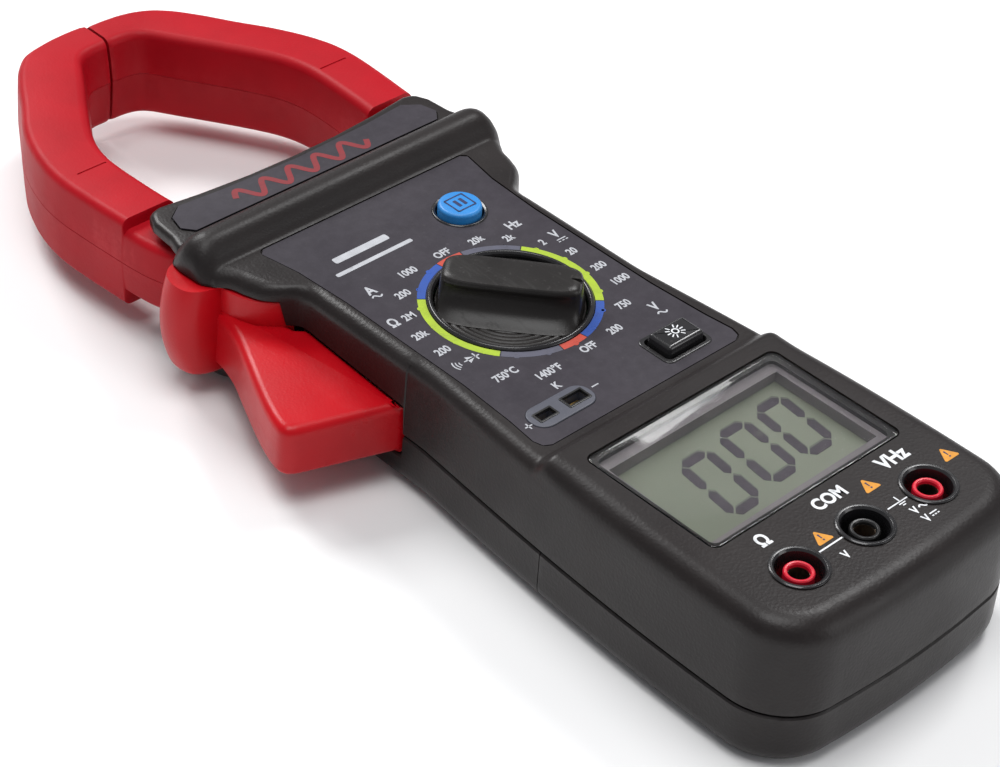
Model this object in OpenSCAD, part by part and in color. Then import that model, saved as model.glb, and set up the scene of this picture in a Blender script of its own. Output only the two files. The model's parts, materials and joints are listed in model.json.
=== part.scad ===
// Hand-held clamp meter: two-part case, hinged jaw with trigger, range dial, display and probe sockets.
// Millimetres. The origin is on the back plane, under the dial axis. +Y runs to the jaw tip, +X to the
// right of the face, +Z out of the face.

/* [Case] */
// Distance from the dial axis to the near end of the case
case_end = 109.5; // [107:0.5:112]
// Half width of the case beside the dial
waist_half_w = 30.2; // [29.8:0.1:30.6]
// Half width of the case beside the sockets
grip_half_w = 35.2; // [34.8:0.1:36]
// Half width across the hand guard
guard_half_w = 42.5; // [42:0.1:43]
// Thickness of the moulded walls
wall = 2.2; // [2:0.1:2.4]
// Height of the joint between the case halves
parting_z = 12.6; // [12:0.1:13]
// Height of the dial face
face_z = 31; // [30.8:0.1:31.2]
// Height of the raised display section
display_z = 33.5; // [33.2:0.1:33.8]
// Height of the hand guard's crest
ridge_z = 35.5; // [35:0.1:36]
// Where the battery cover meets the back case
cover_y = -44.6; // [-46:0.1:-44]

/* [Jaws] */
// Height of the undersides of the jaws
jaw_z0 = 5.8; // [5.6:0.1:6]
// Height of the seam between the jaw shells
jaw_seam_z = 17.5; // [17:0.1:18]
// Height of the tops of the jaws
jaw_z1 = 27.9; // [27.5:0.1:28.2]
// Gap between the closed jaws
jaw_gap = 0.4; // [0.3:0.1:0.8]
// Wall of the jaw shells
jaw_wall = 1.8; // [1.6:0.1:1.8]
// Width of the laminated core
core_w = 5.1; // [4.8:0.1:5.2]

/* [Hinge and trigger] */
// Across position of the jaw's pivot
pivot_x = -24; // [-24.2:0.1:-23.8]
// Length position of the jaw's pivot
pivot_y = 44; // [43.8:0.1:44.2]
// Radius of the pivot pin
pin_r = 2.5; // [2.3:0.1:2.6]
// Radial running clearance of the pin
pin_clear = 0.04; // [0.02:0.01:0.08]
// Height of the trigger's underside
trigger_z0 = 7.8; // [7.6:0.1:8]
// Height of the trigger's top
trigger_z1 = 21.2; // [20.8:0.1:21.4]

/* [Dial and buttons] */
// Radius of the knob's disc
knob_r = 15.4; // [15:0.1:15.5]
// Outer radius of the ring around the knob
bezel_r = 17; // [16.8:0.1:17.2]
// Length of the knob's grip bar
bar_l = 29; // [27:0.5:29.5]
// Width of the knob's grip bar
bar_w = 11; // [9:0.5:12]
// Height of the grip bar's top
bar_z = 37.8; // [36:0.1:39]
// Number of detent positions around the dial
dial_steps = 18; // [12:2:24]
// Position that the pointer rests at, counted clockwise from the top
dial_rest = 16; // [0:1:17]
// Radius of the round hold button
hold_r = 4.7; // [4.4:0.1:4.8]
// Width and length of the lamp button
light_size = [10.6, 7]; // [6:0.1:11]
// Travel of both buttons
button_travel = 1.2; // [1:0.1:1.4]

/* [Display and sockets] */
// Half width of the display window
lens_half_w = 26; // [25:0.5:26.5]
// Far edge of the display window
lens_y1 = -47; // [-47.5:0.1:-46.5]
// Near edge of the display window
lens_y0 = -80.3; // [-80.5:0.1:-79]
// Spacing of the probe sockets
socket_pitch = 18; // [17.5:0.5:19]
// Length position of the probe sockets
socket_y = -93.5; // [-94:0.5:-93]
// Bore radius of the probe sockets
socket_r = 2.05; // [2:0.01:2.1]

/* [Hidden] */
$fn = 48;
eps = 0.01;

// Heights inside the case
face_roof = face_z - 2.6;
display_roof = display_z - 2.5;
label_t = 0.4;
label_z = face_z - 0.1;
board_z0 = 22;
board_t = 1.6;
board_z1 = board_z0 + board_t;
head_roof = 28;
head_floor = 8.9;
root_z0 = 9.4;
root_z1 = 25.4;
jaw_step_y = 74.3;
ear_z1 = 21.5;
core_z0 = 12;
core_z1 = 23;

// Plan positions
end_corner_r = 14;
end_bow = 1;
shoulder_y = 29;
guard_y0 = 46;
guard_y1 = 57.5;
display_y = -41;
label_y0 = -38.1;
label_y1 = 44.7;
hold_at = [13.3, 29.5];
light_at = [15.8, -30.7];
tc_at = [-16.3, -31];
tc_size = [16, 6.6];
pivot_at = [pivot_x, pivot_y];
spring_well_r = 4.3;
neck_r = 14.9;
spring_z0 = 4.6;
case_screw_at = [[26, -38], [-26, -38], [24.3, 22], [-24.3, -9]];
cover_screw_at = [[26, -99], [-26, -99]];
board_screw_at = [[25.2, -19], [-25.2, -24], [28.6, -86], [-28.6, -86], [24, 35.5], [-10, 36.5]];
jaw_screw_at = [[14, 44.4], [31, 46]];
sockets = [-socket_pitch, 0, socket_pitch];
battery_size = [48.5, 26.5, 17.5];
battery_at = [-27.5, -78.2, wall];

// Half width of the case along its length, from the end corner to the shoulder
function case_half(y) =
    let (t = min(1, max(0, (-y - 8) / 80)))
    waist_half_w + (grip_half_w - waist_half_w) * sin(90 * t);

// Right-hand edge of the case, drawn d inside the true outline
function case_edge(d = 0) = concat(
    [[0, d - case_end]],
    [for (a = [0 : 15 : 90])
        [grip_half_w - end_corner_r + (end_corner_r - d) * sin(a),
         end_bow + end_corner_r - case_end - (end_corner_r - d) * cos(a)]],
    [for (y = [-88 : 8 : 24]) [case_half(y) - d, y]]
);

// Right-hand edge of the shoulder that leads out to the hand guard
function shoulder_edge(d = 0) = [
    [waist_half_w - d, shoulder_y],
    [waist_half_w + 2 - d, shoulder_y + 2 + d],
    [waist_half_w + 5 - d, shoulder_y + 4.5 + d],
    [waist_half_w + 7 - d, shoulder_y + 9 + d],
    [waist_half_w + 8.3 - d, shoulder_y + 14 + d],
    [guard_half_w - d, guard_y0 + d]
];

function mirrored(p) = [for (i = [len(p) - 1 : -1 : 0]) [-p[i][0], p[i][1]]];

function full_outline(p) = concat(p, mirrored(p));

// Outline of the body and shoulders, closed across the guard at far_y
function body_outline(d, far_y) = full_outline(concat(
    case_edge(d), shoulder_edge(d), [[guard_half_w - d, far_y]]
));

// Outline of the space inside the body, closed just short of the head
function inner_outline(d) = full_outline(concat(
    case_edge(d),
    [for (i = [0 : 3]) shoulder_edge(d)[i]],
    [[guard_half_w - wall - d - 2, guard_y0 - 1]]
));

// Outline of the near part of the body, closed across at far_y
function near_outline(d, far_y) = full_outline(concat(
    [for (p = case_edge(d)) if (p[1] < far_y - 2) p],
    [[case_half(far_y) - d, far_y]]
));

// Unit direction and the shift of a path to its right-hand side
function unit(v) = v / norm(v);
function side_of(p, i) =
    let (last = len(p) - 1,
         d = p[min(i + 1, last)] - p[max(i - 1, 0)],
         t = (i == 0 || i == last) ? [sign(d[0]), 0] : unit(d))
    [t[1], -t[0]];
function shifted(p, d) = [for (i = [0 : len(p) - 1]) p[i] + d * side_of(p, i)];
function reversed(p) = [for (i = [len(p) - 1 : -1 : 0]) p[i]];

// Outer and inner edges of one jaw, from its tip to its root
half_gap = jaw_gap / 2;
jaw_outer = [
    [half_gap, 143.3], [10, 142.9], [16.6, 140.6], [21, 136.9], [25, 131.7], [30, 123.7],
    [35.6, 115.1], [39.6, 107.1], [41.7, 101.3], [42.4, 94], [42.2, 87], [41.7, 80], [41.2, 73],
    [40.2, 66], [37.3, 58.6], [31.4, 52.4], [23, 49.6], [half_gap, 49.2]
];
jaw_inner = [
    [half_gap, 131.6], [6, 131.4], [8.7, 129.6], [11.6, 124.8], [16.6, 117.3], [21.6, 109.3],
    [25.1, 102.8], [26.8, 97], [27.1, 90], [26.8, 82], [26.4, 76], [24.6, 70], [20, 66.6],
    [12, 65], [half_gap, 64.8]
];

// Area of one jaw drawn d inside its true outline
function jaw_area(d) = concat(shifted(jaw_outer, d), reversed(shifted(jaw_inner, -d)));

// Edges of the trigger, clockwise from its inner near corner
trigger_area = [
    [-30.6, -0.9], [-50.5, 6.2], [-52.6, 7.4], [-53, 9.5], [-51.6, 15], [-49, 21.5],
    [-45.3, 29.5], [-42.3, 36], [-41, 41], [-41, 52], [-30.6, 52]
];
guard_area = [
    [-36.4, 43.8], [-42.3, 44.3], [-46.4, 45.8], [-47.6, 48.2], [-47.4, 51.5], [-45.6, 55.2],
    [-42.2, 57.2], [-36.4, 57.2]
];

module slab(z0, z1, area) {
    translate([0, 0, z0]) linear_extrude(z1 - z0) polygon(area);
}

module box(low, high) {
    translate(low) cube(high - low);
}

module post(at, r, z0, z1) {
    translate([at[0], at[1], z0]) cylinder(r = r, h = z1 - z0);
}

module rounded_plate(size, r, z0, z1) {
    translate([0, 0, z0]) linear_extrude(z1 - z0) union() {
        square([size[0] - 2 * r, size[1]], center = true);
        square([size[0], size[1] - 2 * r], center = true);
        for (x = [-1, 1], y = [-1, 1])
            translate([x * (size[0] / 2 - r), y * (size[1] / 2 - r)]) circle(r = r);
    }
}

// Pan-head screw that points up, with a crossed recess in its head
module screw(at, z0, length, shank_r, head_r = 2.6, head_h = 1.6) {
    translate([at[0], at[1], z0]) difference() {
        union() {
            cylinder(r = head_r, h = head_h);
            cylinder(r = shank_r, h = length);
        }
        for (a = [0, 90])
            rotate(a) translate([-1.4, -0.3, -eps]) cube([2.8, 0.6, 0.9]);
    }
}

// Case halves

// The front half's outside, stepped in towards the face and the display section
module front_outside() {
    far_y = guard_y1 - 0.5;
    slab(parting_z, face_z - 2.2, body_outline(0, far_y));
    slab(face_z - 2.3, face_z - 0.9, body_outline(0.5, far_y - 0.3));
    slab(face_z - 1, face_z, body_outline(1.5, far_y - 0.6));
    slab(face_z - 0.1, face_z + 1.4, near_outline(2.2, display_y));
    slab(face_z + 1.3, display_z, near_outline(3.6, display_y - 1));
}

module guard_ridge() {
    profile = [
        [guard_y0 - 1, head_roof], [guard_y0, face_z], [guard_y0 + 1.2, face_z + 2.4],
        [guard_y0 + 3, ridge_z - 0.5], [guard_y0 + 5, ridge_z], [guard_y0 + 7.2, ridge_z - 0.5],
        [guard_y1 - 1.8, face_z + 2], [guard_y1, face_z], [guard_y1, head_roof]
    ];
    translate([-guard_half_w, 0, 0]) rotate([90, 0, 90])
        linear_extrude(2 * guard_half_w) polygon(profile);
}

module head_plate() {
    edge = [[0, guard_y1 - 2], [guard_half_w - 2, guard_y1 - 2], [38.6, 60], [38.2, 67],
        [36.8, 70.2], [34, 71], [24, 69.7], [12, 68.7], [0, 68.4]];
    slab(head_roof, face_z - 0.4, full_outline(edge));
}

module label_recess() {
    edge = label_edge(-0.25);
    slab(label_z - label_t, face_z + 1, full_outline(edge));
}

function label_edge(d) = [
    [0, label_y0 + d],
    [25.4 - d, label_y0 + d],
    [27 - d, label_y0 + 0.9 + d],
    [27.6 - d, label_y0 + 3 + d],
    [26.8 - d, -28],
    [26 - d, -14],
    [26 - d, 20],
    [26.8 - d, 34],
    [28.6 - d, label_y1 - 1.2 - d],
    [27.4 - d, label_y1 - d],
    [0, label_y1 - d]
];

module front_case() {
    color([0.13, 0.12, 0.12]) {
        difference() {
            union() {
                front_outside();
                guard_ridge();
                head_plate();
            }
            slab(parting_z - 1, face_roof, inner_outline(wall));
            slab(face_roof - 1, display_roof, near_outline(wall + 1.6, display_y - wall));
            front_head_space();
            label_recess();
            front_holes();
        }
        front_bosses();
    }
}

// Space in the head for the jaw roots and the trigger's swing
module front_head_space() {
    box([-60, guard_y0 - 1.1, parting_z - 1], [guard_half_w - wall, 90, head_roof]);
    box([guard_half_w - wall - 1, guard_y1, parting_z - 1], [60, 90, head_roof]);
    box([-60, -2, parting_z - 1], [-20, shoulder_y + 1.2, board_z0 + 0.2]);
    box([-60, shoulder_y + 1.2, parting_z - 1], [-27.9, guard_y0, head_roof]);
    post(pivot_at, neck_r + 0.4, parting_z - 1, head_roof);
}

module front_holes() {
    post([0, 0], bezel_r - 1.1, face_roof - 1, face_z + 1);
    post(hold_at, hold_r + 0.35, face_roof - 1, face_z + 1);
    translate([light_at[0], light_at[1], 0])
        rounded_plate(light_size + [0.7, 0.7], 1.2, face_roof - 1, face_z + 1);
    translate([tc_at[0], tc_at[1], 0])
        rounded_plate(tc_size + [0.2, 0.2], 3.2, face_roof - 1, face_z + 1);
    translate([0, (lens_y0 + lens_y1) / 2, 0]) {
        rounded_plate([2 * lens_half_w + 0.4, lens_y1 - lens_y0 + 0.4], 2, display_z - 1.3, display_z + 1);
        rounded_plate([2 * lens_half_w - 3, lens_y1 - lens_y0 - 3], 1.5, display_roof - 1, display_z + 1);
    }
    for (x = sockets)
        post([x, socket_y], 5.25, display_roof - 1, display_z + 1);
}

module front_bosses() {
    for (p = board_screw_at) {
        roof = p[1] < display_y ? display_roof : face_roof;
        difference() {
            post(p, 2.9, board_z1, roof + eps);
            post(p, 1.2, board_z1 - 1, roof - 0.8);
        }
    }
    for (p = case_screw_at) difference() {
        post(p, 3.2, parting_z, face_roof + eps);
        post(p, 1.4, parting_z - 1, face_roof - 2);
    }
    for (p = cover_screw_at) difference() {
        post(p, 3.2, parting_z, display_roof + eps);
        post(p, 1.4, parting_z - 1, display_roof - 2);
    }
    for (p = jaw_screw_at) difference() {
        post(p, 3.2, ear_z1, head_roof + 0.5);
        post(p, 1.4, ear_z1 - 1, head_roof - 1);
    }
    difference() {
        post(pivot_at, 5, ear_z1 + 0.4, head_roof + 0.5);
        post(pivot_at, pin_r + 0.02, ear_z1, head_roof - 0.8);
    }
}

// Side view of the back: flat under the grip, rising a little under the head
module back_profile(lift = 0) {
    translate([-60, 0, 0]) rotate([90, 0, 90]) linear_extrude(120)
        polygon([[-120, lift], [38, lift], [72, lift + 4.2], [72, 60], [-120, 60]]);
}

// The back half's outside, stepped in towards the flat base
module back_outside(z_stop) {
    far_y = guard_y1 - 0.5;
    slab(0, 1.1, body_outline(2.2, far_y - 0.9));
    slab(1, 2.6, body_outline(1, far_y - 0.6));
    slab(2.5, 5, body_outline(0.3, far_y - 0.3));
    slab(4.9, z_stop, body_outline(0, far_y));
}

module back_case() {
    color([0.13, 0.12, 0.12]) {
        difference() {
            intersection() {
                union() {
                    back_outside(parting_z);
                    slab(2.5, head_floor, full_outline([
                        [0, guard_y1 - 2], [guard_half_w - 2, guard_y1 - 2], [38, 60], [37.6, 66],
                        [35, 69], [24, 68], [0, 67]
                    ]));
                }
                back_profile();
                box([-50, cover_y + 0.1, -1], [50, 90, 60]);
            }
            intersection() {
                slab(-1, parting_z + 1, inner_outline(wall));
                back_profile(wall);
                box([-50, cover_y + 2.2, -1], [50, guard_y0, 60]);
            }
            back_head_space();
            back_holes();
        }
        back_bosses();
    }
}

module back_head_space() {
    box([-60, guard_y0 - 1.1, head_floor], [guard_half_w - wall, 90, 60]);
    box([guard_half_w - wall - 1, guard_y1, head_floor], [60, 90, 60]);
    box([-60, -2, trigger_z0 - 0.8], [-20, shoulder_y + 1.2, 60]);
    box([-60, shoulder_y + 1.2, 4.6], [-34.6, 90, 60]);
    box([-60, guard_y0 - 3, trigger_z0 - 0.8], [-27.9, 90, 60]);
    box([-36, shoulder_y + 1.2, trigger_z0 - 0.8], [-27.9, guard_y0, 60]);
}

module back_holes() {
    for (p = concat(case_screw_at, jaw_screw_at)) {
        post(p, 3.1, -1, 6);
        post(p, 1.7, -1, parting_z + 1);
    }
    post(pivot_at, spring_well_r, spring_z0, parting_z);
    post(pivot_at, pin_r + 0.02, spring_z0 - 1, parting_z);
}

module back_bosses() {
    for (p = case_screw_at) difference() {
        post(p, 4.2, 1, parting_z);
        post(p, 3.1, -1, 6);
        post(p, 1.7, -1, parting_z + 1);
    }
    for (p = jaw_screw_at) difference() {
        post(p, 4.2, 2, root_z0);
        post(p, 3.1, -1, 6);
        post(p, 1.7, -1, parting_z + 1);
    }
    difference() {
        post(pivot_at, spring_well_r + 1, 2, root_z0 - 0.4);
        difference() {
            post(pivot_at, spring_well_r, spring_z0, root_z0);
            post(pivot_at, 3, 0, root_z0);
        }
        post(pivot_at, pin_r + 0.02, spring_z0 - 1, root_z0);
    }
}

module battery_cover() {
    color([0.13, 0.12, 0.12]) {
        difference() {
            intersection() {
                back_outside(parting_z - 0.1);
                box([-50, -120, -1], [50, cover_y - 0.1, 60]);
            }
            slab(wall, parting_z + 1, near_outline(wall, cover_y - 2.1));
            for (p = cover_screw_at)
                post(p, 3.1, -1, 6);
        }
        for (p = cover_screw_at) difference() {
            post(p, 4.2, 0.5, parting_z - 0.1);
            post(p, 3.1, -1, 6);
            post(p, 1.7, -1, parting_z + 1);
        }
    }
}

// Face

module face_label() {
    color([0.26, 0.24, 0.27]) difference() {
        slab(label_z - label_t, label_z, full_outline(label_edge(0)));
        post([0, 0], bezel_r + 0.1, 0, 50);
        post(hold_at, hold_r + 1.05, 0, 50);
        translate([light_at[0], light_at[1], 0]) rounded_plate(light_size + [2, 2], 1.6, 0, 50);
        translate([tc_at[0], tc_at[1], 0]) rounded_plate(tc_size + [0.2, 0.2], 3.2, 0, 50);
    }
}

module head_label() {
    edge = [[0, 58.6], [33.5, 58.6], [35.6, 61.2], [34.6, 65.2], [31, 67.8], [20, 66.8], [0, 66.1]];
    color([0.26, 0.24, 0.27]) slab(face_z - 0.38, face_z - 0.1, full_outline(edge));
}

module lens_window() {
    color([0.7, 0.72, 0.7, 0.4]) translate([0, (lens_y0 + lens_y1) / 2, 0])
        rounded_plate([2 * lens_half_w, lens_y1 - lens_y0], 1.8, display_z - 1.28, display_z - 0.1);
}

lcd_y0 = -78;
lcd_y1 = -49.5;
lcd_z0 = 25.6;

module lcd_panel() {
    color([0.5, 0.53, 0.46]) box([-24.5, lcd_y0, lcd_z0], [24.5, lcd_y1, lcd_z0 + 2.2]);
}

module backlight() {
    color("white") box([-24.5, lcd_y0 + 1.8, lcd_z0 - 1.2], [24.5, lcd_y1 - 1.8, lcd_z0 - 0.02]);
}

module zebra_strips() {
    color("pink") for (y = [lcd_y0, lcd_y1 - 1.6])
        box([-22, y, board_z1 + 0.01], [22, y + 1.6, lcd_z0 - 0.01]);
}

module lcd_frame() {
    color([0.35, 0.33, 0.35]) difference() {
        box([-27, lcd_y0 - 2.2, board_z1 + 0.01], [27, lcd_y1 + 2.2, display_roof - 0.02]);
        box([-24.6, lcd_y0 - 0.1, 0], [24.6, lcd_y1 + 0.1, lcd_z0 + 2.25]);
        box([-23, lcd_y0 + 1.5, 0], [23, lcd_y1 - 1.5, 50]);
    }
}

// Boards and what they carry

module main_pcb() {
    color([0.1, 0.4, 0.2]) difference() {
        intersection() {
            slab(board_z0, board_z1, body_outline(wall + 0.7, 60));
            box([-27.3 - 10, -120, 0], [40, 40, 60]);
        }
        box([-60, shoulder_y - 4, 0], [-27.2, 60, 60]);
        post(pivot_at, neck_r + 0.5, 0, 60);
        post([0, 0], 2.06, 0, 60);
        for (p = concat(case_screw_at, cover_screw_at))
            post(p, 3.6, 0, 60);
        for (p = board_screw_at)
            post(p, 1.5, 0, 60);
        for (x = sockets)
            post([x, socket_y], 2.72, 0, 60);
    }
}

module measuring_ic() {
    chip = [12, 12, 2];
    color([0.08, 0.08, 0.08]) translate([-6, -30, board_z0 - chip[2] - 0.2]) cube(chip);
    color("silver") for (side = [0 : 3], i = [-5 : 5])
        translate([0, -24, board_z0 - 1.2]) rotate(90 * side)
            translate([6, i - 0.2, 0]) cube([1.2, 0.4, 1.2 - eps]);
}

module small_parts() {
    rows = [[-19, -38, 5], [13, -16, 4], [12, 2, 5], [0, -44, 3]];
    for (r = rows, i = [0 : r[2] - 1])
        color("black") translate([r[0], r[1] + 3.2 * i, board_z0 - 0.7]) cube([2.2, 1.2, 0.69]);
}

module electrolytic_caps() {
    color([0.1, 0.15, 0.4]) for (p = [[-8, -8], [6, 14], [18, 30]])
        post(p, 2.5, board_z0 - 6, board_z0 - 0.01);
}

module buzzer() {
    color("gold") post([-14, -45], 2, board_z0 - 1.2, board_z0 - 0.01);
    color("silver") post([8, 28], 6, board_z0 - 3, board_z0 - 0.01);
}

module battery() {
    corner = 2;
    color([0.2, 0.2, 0.5]) translate(battery_at + [0, battery_size[1] / 2, battery_size[2] / 2 + 0.02])
        rotate([90, 0, 90]) linear_extrude(battery_size[0]) union() {
            square([battery_size[1] - 2 * corner, battery_size[2]], center = true);
            square([battery_size[1], battery_size[2] - 2 * corner], center = true);
            for (x = [-1, 1], y = [-1, 1])
                translate([x * (battery_size[1] / 2 - corner), y * (battery_size[2] / 2 - corner)])
                    circle(r = corner);
        }
}

tray_z = battery_at[2] + battery_size[2] + 0.1;
terminal_x = battery_at[0] + battery_size[0];
terminal_z = battery_at[2] + battery_size[2] / 2;

module battery_snap() {
    color("black") box([terminal_x + 2.2, battery_at[1] + 1, terminal_z - 7],
        [terminal_x + 4.2, battery_at[1] + 25.5, terminal_z + 7]);
    color("silver") for (y = [7, 19.5])
        translate([terminal_x + 0.02, battery_at[1] + y, terminal_z]) rotate([0, 90, 0])
            cylinder(r = y < 10 ? 2.9 : 4, h = 2.17);
}

module battery_tray() {
    color([0.15, 0.15, 0.15]) difference() {
        box([-30, battery_at[1] - 2, 13.2], [30, cover_y - 3.2, tray_z + 1.3]);
        box([-28.4, battery_at[1] - 0.4, 0], [28.4, cover_y - 4.8, tray_z]);
    }
}

// Probe sockets

module socket_sleeve(x, tint) {
    color(tint) translate([x, socket_y, 0]) difference() {
        union() {
            cylinder(r = 4.5, h = 25.6);
            cylinder(r = 2.95, h = display_z - 0.6);
        }
        translate([0, 0, -1]) cylinder(r = 10, h = board_z1 + 1.01);
        cylinder(r = 2.5, h = display_z - 1.6);
        cylinder(r = socket_r, h = 50);
    }
}

module ohm_socket() { socket_sleeve(-socket_pitch, "red"); }
module com_socket() { socket_sleeve(0, [0.1, 0.1, 0.1]); }
module volt_socket() { socket_sleeve(socket_pitch, "red"); }

module socket_rings() {
    color([0.06, 0.06, 0.06]) for (x = sockets) translate([x, socket_y, 0]) difference() {
        union() {
            translate([0, 0, board_z1 + 0.01]) cylinder(r = 5.2, h = display_z - board_z1);
            translate([0, 0, display_z]) cylinder(r = 5.75, h = 0.5);
        }
        cylinder(r = 4.55, h = 50);
    }
}

module socket_tubes() {
    color("silver") for (x = sockets) translate([x, socket_y, 0]) difference() {
        union() {
            translate([0, 0, 12.5]) cylinder(r = 2.48, h = display_z - 1.62 - 12.5);
            translate([0, 0, board_z0 - 1]) cylinder(r = 3.6, h = 0.99);
        }
        translate([0, 0, 13.6]) cylinder(r = socket_r, h = 50);
    }
}

module thermocouple_socket() {
    color([0.28, 0.29, 0.34]) translate([tc_at[0], tc_at[1], 0]) difference() {
        rounded_plate(tc_size, 3.1, board_z1 + 0.01, face_z + 0.15);
        box([-6.2, -1.1, 25], [-2, 1.1, 40]);
        box([1.3, -1.3, 25], [6.5, 1.3, 40]);
    }
}

module thermocouple_contacts() {
    color("gold") translate([tc_at[0], tc_at[1], 0]) {
        box([-5.6, 0.5, 25.02], [-2.6, 0.9, 29]);
        box([2, 0.7, 25.02], [5.8, 1.1, 29]);
    }
}

// Push switches under the two buttons

module push_switch(at) {
    color("silver") box([at[0] - 3, at[1] - 3, board_z1 + 0.01], [at[0] + 3, at[1] + 3, board_z1 + 1.3]);
    color("black") post(at, 1.6, board_z1 + 1.3, switch_top);
}

switch_top = board_z1 + 1.7;
button_flange_z = face_roof - 1;

module hold_switch() { push_switch(hold_at); }
module light_switch() { push_switch(light_at); }

module hold_button() {
    color([0.2, 0.6, 0.9]) difference() {
        union() {
            post(hold_at, hold_r, button_flange_z, face_z + 1.7);
            post(hold_at, hold_r - 0.5, button_flange_z, face_z + 2.2);
            post(hold_at, hold_r + 1, button_flange_z, face_roof - 0.05);
            post(hold_at, 1.2, switch_top + button_travel + 0.1, button_flange_z + eps);
        }
        for (a = [0, 120, 240])
            translate([hold_at[0], hold_at[1], 0]) rotate(a) translate([3, -0.5, 0])
                cube([1, 1, face_z]);
    }
}

module light_button() {
    color([0.07, 0.07, 0.08]) translate([light_at[0], light_at[1], 0]) {
        rounded_plate(light_size, 1, button_flange_z, face_z + 1.7);
        rounded_plate(light_size - [1.4, 1.4], 0.8, face_z, face_z + 2.3);
        rounded_plate(light_size + [2.4, 1.6], 1, button_flange_z, face_roof - 0.05);
        translate([0, 0, switch_top + button_travel + 0.1])
            cylinder(r = 1.2, h = button_flange_z - switch_top - button_travel - 0.1 + eps);
    }
}

// Range dial

module dial_bezel() {
    color([0.06, 0.06, 0.06]) difference() {
        union() {
            post([0, 0], bezel_r, label_z - label_t, face_z + 0.6);
            post([0, 0], bezel_r - 1.15, face_roof, face_z);
        }
        post([0, 0], knob_r + 0.25, 0, 60);
    }
}

knob_disc_z = face_z - 0.5;
pointer_turn = 90 - dial_rest * 360 / dial_steps;
rotor_z1 = 26.6;

module knob() {
    grip = bar_l / 2 - 2.6;
    color([0.08, 0.08, 0.08]) rotate(pointer_turn) {
        difference() {
            translate([0, 0, rotor_z1]) cylinder(r = knob_r, h = knob_disc_z - rotor_z1);
            translate([0, 0, rotor_z1 - 1]) cylinder(r = knob_r - 1.5, h = 2.4);
            for (r = [knob_r - 1.2, knob_r - 3])
                translate([0, 0, knob_disc_z - 0.4]) difference() {
                    cylinder(r = r, h = 1);
                    translate([0, 0, -1]) cylinder(r = r - 0.7, h = 3);
                }
        }
        rounded_plate([bar_l, bar_w], 4.2, knob_disc_z - 1, bar_z - 1.2);
        rounded_plate([bar_l - 2.4, bar_w - 2.4], 3, bar_z - 1.3, bar_z);
        translate([grip, -0.4, bar_z - 0.2]) cube([1.4, 0.8, 0.4]);
        translate([0, 0, rotor_z1]) cylinder(r = 4, h = 3);
        translate([0, 0, board_z0]) cylinder(r = 2, h = 6);
    }
}

module switch_rotor() {
    color("ivory") difference() {
        post([0, 0], 12.5, board_z1 + 0.6, rotor_z1 - 0.02);
        post([0, 0], 2.05, 0, 60);
        for (a = [90, 270])
            rotate(a) post([10, 0], 1.3, board_z1 + 1.6, 60);
    }
}

module wiper_contacts() {
    color("gold") for (a = [0, 180], r = [4.5, 7, 9.5])
        rotate(a) box([r - 0.5, -1.4, board_z1 + 0.1], [r + 0.5, 1.4, board_z1 + 0.58]);
}

module detent_balls() {
    color("silver") for (a = [90, 270])
        rotate(a) translate([10, 0, board_z1 + 1.62 + 1.2]) sphere(r = 1.2);
}

// Jaws

module jaw_bulk(z0, z1) {
    slab(max(z0, jaw_z0 + 2), min(z1, jaw_z1 - 2), jaw_area(0));
    if (z0 < jaw_z0 + 2) {
        slab(jaw_z0 + 0.7, jaw_z0 + 2 + eps, jaw_area(0.6));
        slab(jaw_z0, jaw_z0 + 0.7 + eps, jaw_area(1.6));
    }
    if (z1 > jaw_z1 - 2) {
        slab(jaw_z1 - 2 - eps, jaw_z1 - 0.7, jaw_area(0.6));
        slab(jaw_z1 - 0.7 - eps, jaw_z1, jaw_area(1.6));
    }
}

module jaw_hollow() {
    slab(core_z0 - 0.3, core_z1 + 0.3, jaw_area(jaw_wall));
    box(coil_low - [0.2, 0.5, 0.3], coil_high + [0.1, 0.5, 0.3]);
}

// One shell of the right-hand jaw, with its ears
module jaw_shell(z0, z1, ears) {
    difference() {
        union() {
            jaw_bulk(z0, z1);
            for (e = ears) {
                post(e, e[2], max(z0, root_z0), min(z1, ear_z1));
                box([e[0] - e[2], e[1], max(z0, root_z0)], [e[0] + e[2], 55, min(z1, ear_z1)]);
            }
        }
        jaw_hollow();
        box([-1, 40, -1], [60, jaw_step_y, root_z0]);
        box([-1, 40, root_z1], [60, jaw_step_y, 50]);
        for (e = ears)
            post(e, e[3], 0, 50);
        translate([33.8, 93.8, jaw_z1 - 0.4]) translate([-3.8, -0.3, 0]) cube([7.6, 0.6, 1]);
    }
}

fixed_ears = [for (p = jaw_screw_at) [p[0], p[1], 4.2, 1.7]];
pivot_ears = [[-pivot_x, pivot_y, 6.4, pin_r + pin_clear]];

module fixed_jaw_upper() { color([0.72, 0.16, 0.22]) jaw_shell(jaw_seam_z, jaw_z1, fixed_ears); }
module fixed_jaw_lower() { color([0.72, 0.16, 0.22]) jaw_shell(jaw_z0, jaw_seam_z, fixed_ears); }

module moving_jaw_upper() {
    color([0.72, 0.16, 0.22]) difference() {
        mirror([1, 0, 0]) jaw_shell(jaw_seam_z, jaw_z1, pivot_ears);
        trigger_screw_holes();
    }
}

module moving_jaw_lower() {
    color([0.72, 0.16, 0.22]) difference() {
        mirror([1, 0, 0]) jaw_shell(jaw_z0, jaw_seam_z, pivot_ears);
        trigger_screw_holes();
    }
}

core_inset = 3.3;
coil_low = [32.4, 83, core_z0 - 1.4];
coil_high = [39.9, 99, core_z1 + 1.4];

module core() {
    slab(core_z0, core_z1, concat(
        shifted(jaw_outer, core_inset), reversed(shifted(jaw_outer, core_inset + core_w))
    ));
}

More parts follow.
